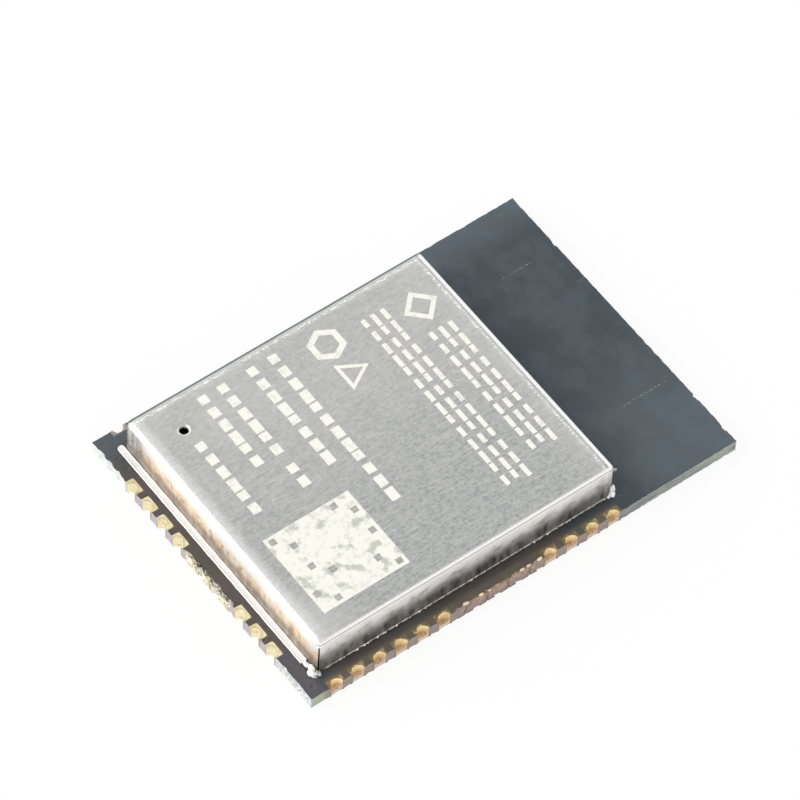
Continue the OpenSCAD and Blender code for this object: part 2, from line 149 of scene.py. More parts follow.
def ruled(low: float, high: float, marks: Array, step: float) -> Array:
    """Rule lines from low to high, through every mark and never further apart than step.

    Args:
        low: First line.
        high: Last line.
        marks: Places that a line has to pass through.
        step: Greatest distance between neighbours.

    Returns:
        The lines in order.
    """
    inside = marks[(marks > low + 0.01) & (marks < high - 0.01)]
    stops = np.unique(np.concatenate([[low], np.round(inside, 2), [high]]))
    parts = [
        np.linspace(a, b, max(1, math.ceil((b - a) / step - 1e-6)), endpoint=False)
        for a, b in zip(stops[:-1], stops[1:])
    ]
    return np.concatenate([*parts, [high]])


# ---- Surfaces ----


def grid(rows: Array, columns: Array) -> Sequence[Array]:
    """Spread two lines of numbers over a lattice, with the first along its rows."""
    return np.meshgrid(rows, columns, indexing="ij")


def points_of(x: Array, y: Array, z: Array) -> Array:
    """Spread three coordinates to one shape and list their points."""
    return np.stack(np.broadcast_arrays(x, y, z), axis=-1).reshape(-1, 3)


def lattice(rows: int, columns: int, wrap: bool = False) -> Array:
    """Join the neighbours of a lattice with quads.

    Args:
        rows: Points along the first direction.
        columns: Points along the second direction.
        wrap: Whether the last row is joined to the first.

    Returns:
        Four corners for each quad, anticlockwise seen from first-cross-second.
    """
    i, j = grid(np.arange(rows if wrap else rows - 1), np.arange(columns - 1))
    i, j = i.ravel(), j.ravel()
    after = (i + 1) % rows
    corners = [i * columns + j, after * columns + j, after * columns + j + 1, i * columns + j + 1]
    return np.stack(corners, axis=1)


def repeated(quads: Array, points_each: int, times: int) -> Array:
    """Repeat one lattice's quads for each of several equal point sets."""
    shift = np.arange(times)[:, None, None] * points_each
    return (quads[None] + shift).reshape(-1, 4)


@dataclass
class Skin:
    """An open surface of quads, with a matched point behind each point of it."""

    front: Array
    back: Array
    quads: Array

    @staticmethod
    def joined(parts: Sequence["Skin"]) -> "Skin":
        """Lay several skins' points end to end in one skin."""
        starts = np.cumsum([0] + [len(p.front) for p in parts[:-1]])
        return Skin(
            np.concatenate([p.front for p in parts]),
            np.concatenate([p.back for p in parts]),
            np.concatenate([p.quads + s for p, s in zip(parts, starts)]),
        )

    def welded(self) -> "Skin":
        """Make one point of front points that are within a tenth of a micrometre.

        Returns:
            The skin with its quads on those points.
        """
        rounded = np.round(self.front, 4)
        _, first, place = np.unique(rounded, axis=0, return_index=True, return_inverse=True)
        return Skin(self.front[first], self.back[first], place.ravel()[self.quads])

    def alone(self) -> Shape:
        """Points and quads of the welded front, for a surface that closes on itself."""
        whole = self.welded()
        return whole.front, whole.quads

    def closed(self) -> Shape:
        """Add the back, turned over, and a wall along each edge that has one quad.

        Returns:
            Points, and quads that all face outwards.
        """
        count = len(self.front)
        edges = np.concatenate([self.quads[:, [k, (k + 1) % 4]] for k in range(4)])
        edges = edges[edges[:, 0] != edges[:, 1]]
        key = edges[:, 0] * count + edges[:, 1]
        reverse = edges[:, 1] * count + edges[:, 0]
        rim = edges[~np.isin(key, reverse)]
        walls = np.stack([rim[:, 1], rim[:, 0], rim[:, 0] + count, rim[:, 1] + count], axis=1)
        behind = self.quads[:, ::-1] + count
        return np.concatenate([self.front, self.back]), np.concatenate([self.quads, behind, walls])


def mesh_from(name: str, points: Array, quads: Array) -> bpy.types.Mesh:
    """Write a mesh, with quads that have lost a side made triangles.

    Args:
        name: Name of the mesh.
        points: Places in millimetres.
        quads: Corners of the faces, where two neighbours may be one point.

    Returns:
        The mesh, smooth apart from its sharp edges.
    """
    same = quads == np.roll(quads, -1, axis=1)
    whole = quads[~same.any(axis=1)]
    single = same.sum(axis=1) == 1
    halves = [np.delete(quads[single & same[:, k]], k, axis=1) for k in range(4)]
    triangles = np.concatenate(halves)
    used = np.unique(np.concatenate([whole.ravel(), triangles.ravel()]))
    place = np.zeros(len(points), dtype=np.int64)
    place[used] = np.arange(len(used))
    mesh = bpy.data.meshes.new(name)
    faces = place[whole].tolist() + place[triangles].tolist()
    mesh.from_pydata((points[used] * MM).tolist(), [], faces)
    mesh.shade_smooth()
    mesh.set_sharp_from_angle(angle=math.radians(CREASE_DEGREES))
    mesh.update()
    return mesh


def put(name: str, data: bpy.types.ID) -> bpy.types.Object:
    """Put an object in the scene.

    Args:
        name: Name of the object.
        data: Its mesh, lamp or camera.

    Returns:
        The object.
    """
    made = bpy.data.objects.new(name, data)
    bpy.context.scene.collection.objects.link(made)
    return made


def add_piece(
    name: str, shape: Shape, material: bpy.types.Material, replaces: Sequence[str] = ()
) -> bpy.types.Object:
    """Add one piece to the object.

    Args:
        name: Name of the piece.
        shape: Its points in millimetres and its quads.
        material: What it is made of.
        replaces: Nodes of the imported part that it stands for.

    Returns:
        The piece.
    """
    mesh = mesh_from(name, *shape)
    mesh.materials.append(material)
    piece = put(name, mesh)
    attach(piece, BODY)
    if replaces:
        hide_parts(*replaces)
    log.info("%s: %d faces", name, len(mesh.polygons))
    return piece


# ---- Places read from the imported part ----


def node_box(node: str) -> Array:
    """Lowest and highest corner of a node, in millimetres."""
    return np.array([list(corner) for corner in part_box(node)]) / MM


def solid_boxes(node: str) -> Array:
    """Find the box of each separate solid in a node.

    Every point takes the lowest label found on its triangles, until none changes.

    Args:
        node: Node whose mesh is triangles.

    Returns:
        Lowest and highest corner of each solid, in millimetres.
    """
    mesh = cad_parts[node].data
    raw = np.empty(len(mesh.vertices) * 3, dtype=np.float32)
    mesh.vertices.foreach_get("co", raw)
    corners = np.empty(len(mesh.loops), dtype=np.int32)
    mesh.loops.foreach_get("vertex_index", corners)
    points, place = np.unique(np.round(raw.reshape(-1, 3) / MM, 3), axis=0, return_inverse=True)
    triangles = place.ravel()[corners].reshape(-1, 3)
    label = np.arange(len(points))
    settled = False
    while not settled:
        lowest = np.repeat(label[triangles].min(axis=1), 3)
        spread = label.copy()
        np.minimum.at(spread, triangles.ravel(), lowest)
        settled = bool((spread == label).all())
        label = spread
    groups = [points[label == k] for k in np.unique(label)]
    return np.array([[g.min(axis=0), g.max(axis=0)] for g in groups])


# ---- Finishes ----

MATH = "ShaderNodeMath"
RANGE = "ShaderNodeMapRange"
MIX = "ShaderNodeMix"
SUM = {"operation": "ADD", "use_clamp": True}
LESS = {"operation": "SUBTRACT", "use_clamp": True}
TIMES = {"operation": "MULTIPLY"}
GREATER = {"operation": "MAXIMUM"}
LESSER = {"operation": "MINIMUM"}
SOFT = {"interpolation_type": "SMOOTHSTEP"}
RGBA = {"data_type": "RGBA"}


def add(
    tree: bpy.types.NodeTree,
    kind: str,
    settings: Optional[dict[str, Any]] = None,
    inputs: Optional[dict[Union[int, str], Any]] = None,
) -> bpy.types.Node:
    """Add one shader node.

    Args:
        tree: Tree that takes the node.
        kind: Type name of the node.
        settings: Properties of the node.
        inputs: For each input, a value, an output, or a node whose first output feeds it.

    Returns:
        The node.
    """
    made = tree.nodes.new(kind)
    for key, value in (settings or {}).items():
        setattr(made, key, value)
    for key, value in (inputs or {}).items():
        if isinstance(value, bpy.types.Node):
            value = value.outputs[0]
        if isinstance(value, bpy.types.NodeSocket):
            tree.links.new(value, made.inputs[key])
        else:
            made.inputs[key].default_value = value
    return made


@dataclass(frozen=True)
class Sketch:
    """A node tree that is being laid out, with the coordinates that its patterns read."""

    tree: bpy.types.NodeTree
    place: bpy.types.NodeSocket
    axes: bpy.types.Node

    @staticmethod
    def start(owner: Union[bpy.types.Material, bpy.types.World], source: str = "Object") -> "Sketch":
        """Empty the tree of a material or world and take up its coordinates.

        Args:
            owner: What has the tree.
            source: Name of the coordinates.

        Returns:
            The sketch.
        """
        owner.use_nodes = True
        tree = owner.node_tree
        tree.nodes.clear()
        place = add(tree, "ShaderNodeTexCoord").outputs[source]
        return Sketch(tree, place, add(tree, "ShaderNodeSeparateXYZ", None, {0: place}))

    def pattern(
        self,
        size_mm: Sequence[float],
        low: float = 0.35,
        high: float = 0.65,
        detail: float = 3.0,
        least: float = 0.0,
    ) -> Source:
        """Lay a soft random pattern over the surface.

        Args:
            size_mm: Size of a blotch along each axis.
            low: Noise level that gives the least value.
            high: Noise level that gives 1.
            detail: Finer noise added to it.
            least: Value between the blotches.

        Returns:
            A value from the least to 1.
        """
        scale = [1 / (s * MM) for s in size_mm]
        placed = add(self.tree, "ShaderNodeMapping", None, {"Vector": self.place, "Scale": scale})
        fine = {"Vector": placed, "Scale": 1.0, "Detail": detail, "Roughness": 0.55}
        noise = add(self.tree, "ShaderNodeTexNoise", {"noise_dimensions": "3D"}, fine)
        levels = {"Value": noise, "From Min": low, "From Max": high, "To Min": least}
        return add(self.tree, RANGE, SOFT, levels)

    def band(self, axis: int, low_mm: float, high_mm: float) -> Source:
        """Run from 0 to 1 between two places along one axis.

        Args:
            axis: X, Y or Z.
            low_mm: Place that gives 0, which may be above the other.
            high_mm: Place that gives 1.

        Returns:
            A value from 0 to 1.
        """
        ends = {"Value": self.axes.outputs[axis], "From Min": low_mm * MM, "From Max": high_mm * MM}
        return add(self.tree, RANGE, SOFT, ends)

    def strip(self, axis: int, low_mm: float, high_mm: float, soft_mm: float = 0.02) -> Source:
        """Give 1 between two places along one axis and 0 outside them.

        Args:
            axis: X, Y or Z.
            low_mm: Lower side of the strip.
            high_mm: Upper side of the strip.
            soft_mm: Distance over which each side fades, inside the strip.

        Returns:
            A value from 0 to 1.
        """
        rise = self.band(axis, low_mm, low_mm + soft_mm)
        fall = self.band(axis, high_mm, high_mm - soft_mm)
        return add(self.tree, MATH, LESSER, {0: rise, 1: fall})

    def layered(self, under: Any, layers: Sequence[Layer]) -> Source:
        """Lay colours over another in order, each by its strength times all its shares.

        Args:
            under: Colour that is covered.
            layers: Colour, strength and shares of each cover.

        Returns:
            The covered colour.
        """
        for colour, strength, shares in layers:
            amount: Any = strength
            for share in shares:
                amount = add(self.tree, MATH, TIMES, {0: amount, 1: share})
            under = add(self.tree, MIX, RGBA, {0: amount, 6: under, 7: linear(colour)}).outputs[2]
        return under


@dataclass(frozen=True)
class Finish:
    """A surface with a fine grain and soft patches of a second colour."""

    name: str
    colour: str
    patch: str
    roughness: float
    metallic: float = 0.0
    ior: Optional[float] = None
    clear: float = 0.0
    grain_mm: Size = (0.1, 0.1, 0.1)
    grain_um: float = 0.5
    patch_mm: Size = (1.0, 1.0, 1.0)
    patch_levels: Pair = (0.5, 0.7)
    spread: float = 0.06

    def tint(self, sketch: Sketch) -> Source:
        """Colour of the surface: patches of the second colour over the first."""
        patches = sketch.pattern(self.patch_mm, *self.patch_levels)
        return sketch.layered(linear(self.colour), [(self.patch, 1.0, [patches])])

    def shine(self, sketch: Sketch) -> Source:
        """Roughness of the surface, which wanders by the spread each way.

        Args:
            sketch: Tree that takes the nodes.

        Returns:
            Roughness.
        """
        wander = sketch.pattern([1.7 * s for s in self.patch_mm])
        ends = {"To Min": self.roughness - self.spread, "To Max": self.roughness + self.spread}
        return add(sketch.tree, RANGE, None, {0: wander, **ends})

    def metal(self, sketch: Sketch) -> Any:
        """Share of bare metal in the surface."""
        return self.metallic

    def relief(self, sketch: Sketch) -> Source:
        """Height of the grain, from 0 to 1."""
        return sketch.pattern(self.grain_mm, 0.2, 0.8, 4.0)

    def build(self) -> bpy.types.Material:
        """Make the material.

        Returns:
            A material with one Principled shader.
        """
        material = bpy.data.materials.new(self.name)
        sketch = Sketch.start(material)
        grain = {"Height": self.relief(sketch), "Distance": self.grain_um * MICRON, "Strength": 1.0}
        inputs = {
            "Base Color": self.tint(sketch),
            "Roughness": self.shine(sketch),
            "Metallic": self.metal(sketch),
            "Transmission Weight": self.clear,
            "Normal": add(sketch.tree, "ShaderNodeBump", None, grain),
        }
        if self.ior is not None:
            inputs["IOR"] = self.ior
        shader = add(sketch.tree, "ShaderNodeBsdfPrincipled", None, inputs)
        add(sketch.tree, "ShaderNodeOutputMaterial", None, {"Surface": shader})
        return material


@dataclass(frozen=True)
class CanSteel(Finish):
    """Tinned steel sheet, cold-rolled and pressed: satin top, painted white highlights on the bends, painted
    shade and reflections on the walls.
    """

    wall_mm: Pair = (2.86, 2.66)
    bend_mm: Pair = (3.06, 3.0)
    rim_mm: Pair = (3.093, 3.084)
    bend_roughness: float = 0.22
    wall_roughness: float = 0.42
    wall_metal: float = 0.5
    # Less metal under the painted glints, so that their painted white shows.
    glint_metal: float = 0.7
    streak_mm: Size = (0.16, 0.16, 2.2)
    streak_um: float = 5.0
    rim_um: float = 9.0
    # Painted light: the paler patches of the top, where it catches more light.
    side: str = "#eeeeeb"
    line: str = "#f2f2ef"
    # Painted highlight: white of the bends.
    bend_highlight: str = "#f6f5f1"
    # Painted highlight: white for the glints and for the contact-end edge of the top.
    painted_highlight: str = "#ffffff"
    crease: str = "#6f7375"
    # Painted shade: dark towards the foot of the walls.
    foot: str = "#3d382e"
    # Painted shade and painted brown reflections on the walls.
    shade_and_reflection: str = "#6a6055"
    # Painted reflection of the gold pads on the contact-end wall, in soft patches and spots.
    gold_reflection: str = "#e6cdb0"
    gold_reflection_spot: str = "#b48f68"

    def painted_glints(self, sketch: Sketch) -> Source:
        """Painted glints beside the creases and a painted highlight along the far bend.

        Args:
            sketch: Tree that takes the nodes.

        Returns:
            Share of painted glint, from 0 to 1.
        """
        beside = {0: sketch.strip(X, -7.5, -7.3, 0.04), 1: sketch.strip(Y, 5.4, 5.6, 0.06)}
        runs = sketch.pattern((1.5, 1.5, 1.5), 0.36, 0.52, least=0.3)
        grit = sketch.pattern((0.09, 0.12, 0.3), 0.48, 0.6, 2.0)
        marks = add(sketch.tree, MATH, TIMES, {0: runs, 1: grit})
        flecks = add(sketch.tree, MATH, TIMES, {0: add(sketch.tree, MATH, GREATER, beside), 1: marks})
        rolled = {0: sketch.band(Y, 5.7, 5.75), 1: sketch.band(Z, 2.85, 2.95)}
        return add(sketch.tree, MATH, GREATER, {0: flecks, 1: add(sketch.tree, MATH, TIMES, rolled)})

    def tint(self, sketch: Sketch) -> Source:
        """Mottled sheet with painted light: paler painted patches, painted white highlights on its bends and
        glints, dark lines along its bends, and painted shade and reflections on its walls.

        Args:
            sketch: Tree that takes the nodes.

        Returns:
            Colour of the sheet.
        """
        band, pattern = sketch.band, sketch.pattern
        clouds = pattern((1.6, 2.4, 2.0), 0.3, 0.7, least=0.5)
        # Painted light: paler to the left, to the far end and at the near corner, then a painted highlight at
        # the contact end, streaks, painted highlights on the bends and painted glints.
        layers = [
            (self.side, 0.7, [band(X, 6.0, -7.0), clouds]),
            (self.side, 0.6, [band(Y, 3.6, 5.6), clouds]),
            (self.side, 0.8, [band(Y, -8.5, -11.0), band(X, 3.0, 7.0)]),
            # Painted highlight: the top turns white towards the contact-end bend.
            (self.painted_highlight, 1.0, [band(Y, -10.75, -11.45)]),
            (self.line, 0.45, [pattern((0.05, 1.1, 0.3), 0.52, 0.66, 1.0)]),
            (self.bend_highlight, 1.0, [band(Z, *self.bend_mm)]),
            (self.painted_highlight, 1.0, [self.painted_glints(sketch)]),
        ]
        return sketch.layered(super().tint(sketch), [*layers, *self.creases(sketch), *self.walls(sketch)])

    def creases(self, sketch: Sketch) -> list[Layer]:
        """Thin dark lines along the bends, and a dark band over the upper left wall and its bend.

        Args:
            sketch: Tree that takes the nodes.

        Returns:
            Their layers.
        """
        top = sketch.band(Z, 3.0, 3.05)
        return [
            (self.crease, 0.45, [sketch.strip(X, -7.545, -7.5), top]),
            (self.crease, 0.55, [sketch.strip(Y, 5.61, 5.665), top]),
            (self.crease, 0.8, [sketch.strip(Z, 2.84, 2.91), sketch.band(X, 7.6, 7.7)]),
            (self.crease, 1.0, [sketch.band(X, -7.57, -7.64), sketch.band(Z, 2.5, 2.8)]),
        ]

    def walls(self, sketch: Sketch) -> list[Layer]:
        """Painted shade and painted reflections on the walls, darker and browner towards the foot, less at
        the contact end than elsewhere.

        Args:
            sketch: Tree that takes the nodes.

        Returns:
            Its layers.
        """
        band, strip, pattern = sketch.band, sketch.strip, sketch.pattern
        end, other = band(Y, -11.45, -11.55), band(Y, -11.55, -11.45)
        uneven = pattern((0.45, 0.45, 1.1), 0.25, 0.75, least=0.65)
        mottle = pattern((0.6, 0.6, 0.5), 0.4, 0.72, 4.0)
        reflection_patches = pattern((0.5, 0.5, 1.4), 0.3, 0.6, least=0.45)
        spots = pattern((0.32, 0.32, 0.7), 0.5, 0.66)
        drawn = pattern((0.12, 0.12, 2.0), 0.3, 0.65, least=0.5)
        # First the dull walls: painted shade at the foot and painted brown reflections; then the end wall:
        # painted reflections of the gold pads, a painted darker left end and painted shade at its foot.
        return [
            (self.foot, 1.0, [other, band(Z, 2.56, 1.25), uneven]),
            (self.shade_and_reflection, 0.6, [other, strip(Z, 1.3, 2.7, 0.7), mottle]),
            (self.gold_reflection, 1.0, [end, band(Z, 2.6, 1.95), reflection_patches, band(X, -7.2, -6.0)]),
            (self.gold_reflection_spot, 0.7, [end, strip(Z, 1.2, 2.35, 0.3), spots]),
            (self.shade_and_reflection, 0.75, [end, band(X, -5.9, -7.0), band(Z, 2.95, 2.6), drawn]),
            (self.shade_and_reflection, 0.9, [end, band(Z, 1.95, 1.3), uneven]),
        ]

    def metal(self, sketch: Sketch) -> Any:
        """Bare on the top, less bare on the walls, and duller under the painted glints.

        Args:
            sketch: Tree that takes the nodes.

        Returns:
            Share of bare metal.
        """
        below = {0: sketch.band(Z, *self.bend_mm), "To Min": self.metallic, "To Max": self.wall_metal}
        bare = add(sketch.tree, RANGE, None, below)
        glinting = add(sketch.tree, MATH, TIMES, {0: self.painted_glints(sketch), 1: self.glint_metal})
        return add(sketch.tree, MATH, LESS, {0: bare, 1: glinting})

    def shine(self, sketch: Sketch) -> Source:
        """Satin on the rolled top, brighter on the bends and dull on the walls.

        Args:
            sketch: Tree that takes the nodes.

        Returns:
            Roughness.
        """
        rough: Source = super().shine(sketch)
        for zone, value in ((self.bend_mm, self.bend_roughness), (self.wall_mm, self.wall_roughness)):
            rough = add(sketch.tree, MIX, None, {0: sketch.band(Z, *zone), 2: rough, 3: value})
        return rough

    def relief(self, sketch: Sketch) -> Source:
        """Fine grain on the top, scuffs on its rim and upright draw marks on the walls.

        Args:
            sketch: Tree that takes the nodes.

        Returns:
            Height, in the top's grain.
        """
        grain = super().relief(sketch)
        streaks = sketch.pattern(self.streak_mm, 0.2, 0.8, 2.0)
        scuffs = add(sketch.tree, MATH, TIMES, {0: grain, 1: self.rim_um / self.grain_um})
        drawn = add(sketch.tree, MATH, TIMES, {0: streaks, 1: self.streak_um / self.grain_um})
        height: Source = grain
        for zone, raised in ((self.rim_mm, scuffs), (self.bend_mm, grain), (self.wall_mm, drawn)):
            height = add(sketch.tree, MIX, None, {0: sketch.band(Z, *zone), 2: height, 3: raised})
        return height


@dataclass(frozen=True)
class MaskCoat(Finish):
    """Solder mask: a screened and cured epoxy coat, satin, over copper and glass."""

    lighter: str = "#5f6a72"
    speck: str = "#c9ced0"
    haze: str = "#57493d"
    flux: str = "#6f6454"
    grape: str = "#544f56"
    scuffs: tuple[tuple[float, float, float, float], ...] = ()

    def tint(self, sketch: Sketch) -> Source:
        """Cloudy colour, lighter where no copper is behind it, with flux, dust and scuffs.

        Args:
            sketch: Tree that takes the nodes.

        Returns:
            Colour of the coat.
        """
        band, strip, pattern = sketch.band, sketch.strip, sketch.pattern
        film = pattern((0.7, 0.7, 0.7), 0.2, 0.7, least=0.45)
        end = [film, band(X, -8.3, -6.5), band(Y, -11.75, -12.0), band(X, 6.8, 5.4)]
        # Thin at the left and the antenna end, fluxed round the can, grape at one corner.
        layers = [
            (self.lighter, 0.4, [band(X, -6.6, -8.6)]),
            (self.lighter, 0.5, [band(X, -1.0, 8.0), band(Y, 5.9, 9.5)]),
            (self.haze, 0.8, end),
            (self.grape, 0.8, [band(Y, -11.6, -12.1), band(X, 5.4, 6.8)]),
            (self.haze, 0.7, [film, band(X, 7.9, 8.1), strip(Y, -11.8, 3.2, 1.2)]),
            (self.flux, 0.8, [film, band(X, 8.3, 8.6), strip(Y, -11.9, 5.9, 0.5)]),
            (self.speck, 0.8, [pattern((0.08, 0.08, 0.08), 0.775, 0.83, 1.0)]),
        ]
        grit = pattern((0.07, 0.11, 0.1), 0.5, 0.66, 1.0)
        for middle, half, low, high in self.scuffs:
            across = strip(X, middle - half, middle + half, half)
            layers.append((self.speck, 0.42, [across, strip(Y, low, high, 0.2), grit]))
        return sketch.layered(super().tint(sketch), layers)


@dataclass(frozen=True)
class CutEdge(Finish):
    """Glass-fibre laminate, cut by a router: level plies that show as fine layers."""

    core: str = "#7f857f"
    frayed: str = "#e9ece6"
    grey: str = "#a5a0a4"
    pale: str = "#dfe2dd"
    ashen: str = "#a9adaa"
    green: str = "#b9c39c"
    stained: str = "#9f9087"
    torn: str = "#cfc9b8"
    smear: str = "#bb927c"
    fleck: str = "#e6d2b6"

    def tint(self, sketch: Sketch) -> Source:
        """Pale fibres and darker resin in thin level streaks, with broad patches.

        Args:
            sketch: Tree that takes the nodes.

        Returns:
            Colour of the cut.
        """
        band, strip, pattern = sketch.band, sketch.strip, sketch.pattern
        end = band(Y, -12.45, -12.7)
        fray = pattern((0.14, 0.14, 0.1), 0.44, 0.6)
        routed = [strip(Y, -4.1, 0.9, 0.3), band(Z, 0.3, 0.6), band(X, 8.6, 8.8)]
        # The plies, the right edge with what the router dragged, then the frayed end.
        layers = [
            (self.core, 1.0, [pattern((1.4, 1.4, 0.075), 0.4, 0.62, 2.0)]),
            (self.patch, 1.0, [pattern(self.patch_mm, *self.patch_levels)]),
            (self.green, 0.7, [band(Y, -11.8, -12.2)]),
            (self.stained, 0.9, [band(X, 8.3, 8.6), strip(Y, -12.0, 5.9, 0.4)]),
            (self.smear, 0.85, [pattern((0.2, 0.32, 0.16), 0.42, 0.62), *routed]),
            (self.fleck, 0.7, [pattern((0.12, 0.2, 0.1), 0.53, 0.64), *routed]),
            (self.grey, 1.0, [end]),
            (self.pale, 1.0, [end, band(X, -6.0, -6.4)]),
            (self.ashen, 1.0, [end, band(X, 6.0, 6.4)]),
            (self.ashen, 0.6, [end, fray, band(X, -5.9, -6.3)]),
            (self.frayed, 0.7, [end, fray, band(X, 5.9, 6.3)]),
            (self.torn, 0.8, [end, strip(X, -1.4, 2.5, 0.3)]),
        ]
        return sketch.layered(linear(self.colour), layers)


@dataclass(frozen=True)
class StainedGold(Finish):
    """Gold whose lands flux has browned, darker round its lower edges with painted shade, and whose notches
    stay bright.
    """

    # Flux stain on the lands, and painted shade round the foot of the contacts.
    stain_and_shade: str = "#857554"
    cut: str = "#8f7c6c"
    lip_mm: Pair = (0.74, 0.79)
    shaded_foot_mm: Pair = (0.34, 0.12)
    cut_mm: Pair = (8.975, 8.99)
    worn_mm: Pair = (-4.1, 0.7)

    def tint(self, sketch: Sketch) -> Source:
        """Bright in the notch, brown on the land, and darker round the foot with painted shade.

        Args:
            sketch: Tree that takes the nodes.

        Returns:
            Colour of the gold.
        """
        uneven = sketch.pattern((0.25, 0.25, 0.25), 0.1, 0.55)
        layers = [
            # Painted shade: the lower notch and the lower land darker.
            (self.stain_and_shade, 0.75, [sketch.band(Z, *self.shaded_foot_mm), uneven]),
            (self.stain_and_shade, 1.0, [sketch.band(Z, *self.lip_mm), uneven]),
            (self.cut, 1.0, [sketch.band(X, *self.cut_mm)]),
            (self.cut, 1.0, [sketch.strip(Y, *self.worn_mm, 0.1)]),
        ]
        return sketch.layered(super().tint(sketch), layers)


@dataclass(frozen=True)
class EtchedMark(Finish):
    """Laser-etched marks: pale throughout, and worn thin in clouds on the wide field."""

    thin: str = "#b9bdb2"
    field_mm: tuple[Pair, Pair] = ((0.0, 1.0), (0.0, 1.0))

    def tint(self, sketch: Sketch) -> Source:
        """Cream, with grey clouds inside the field.

        Args:
            sketch: Tree that takes the nodes.

        Returns:
            Colour of the marks.
        """
        inside = [sketch.strip(axis, *ends) for axis, ends in enumerate(self.field_mm)]
        clouds = sketch.pattern((0.75, 0.75, 0.4), 0.53, 0.66, 4.0)
        return sketch.layered(super().tint(sketch), [(self.thin, 0.9, [*inside, clouds])])


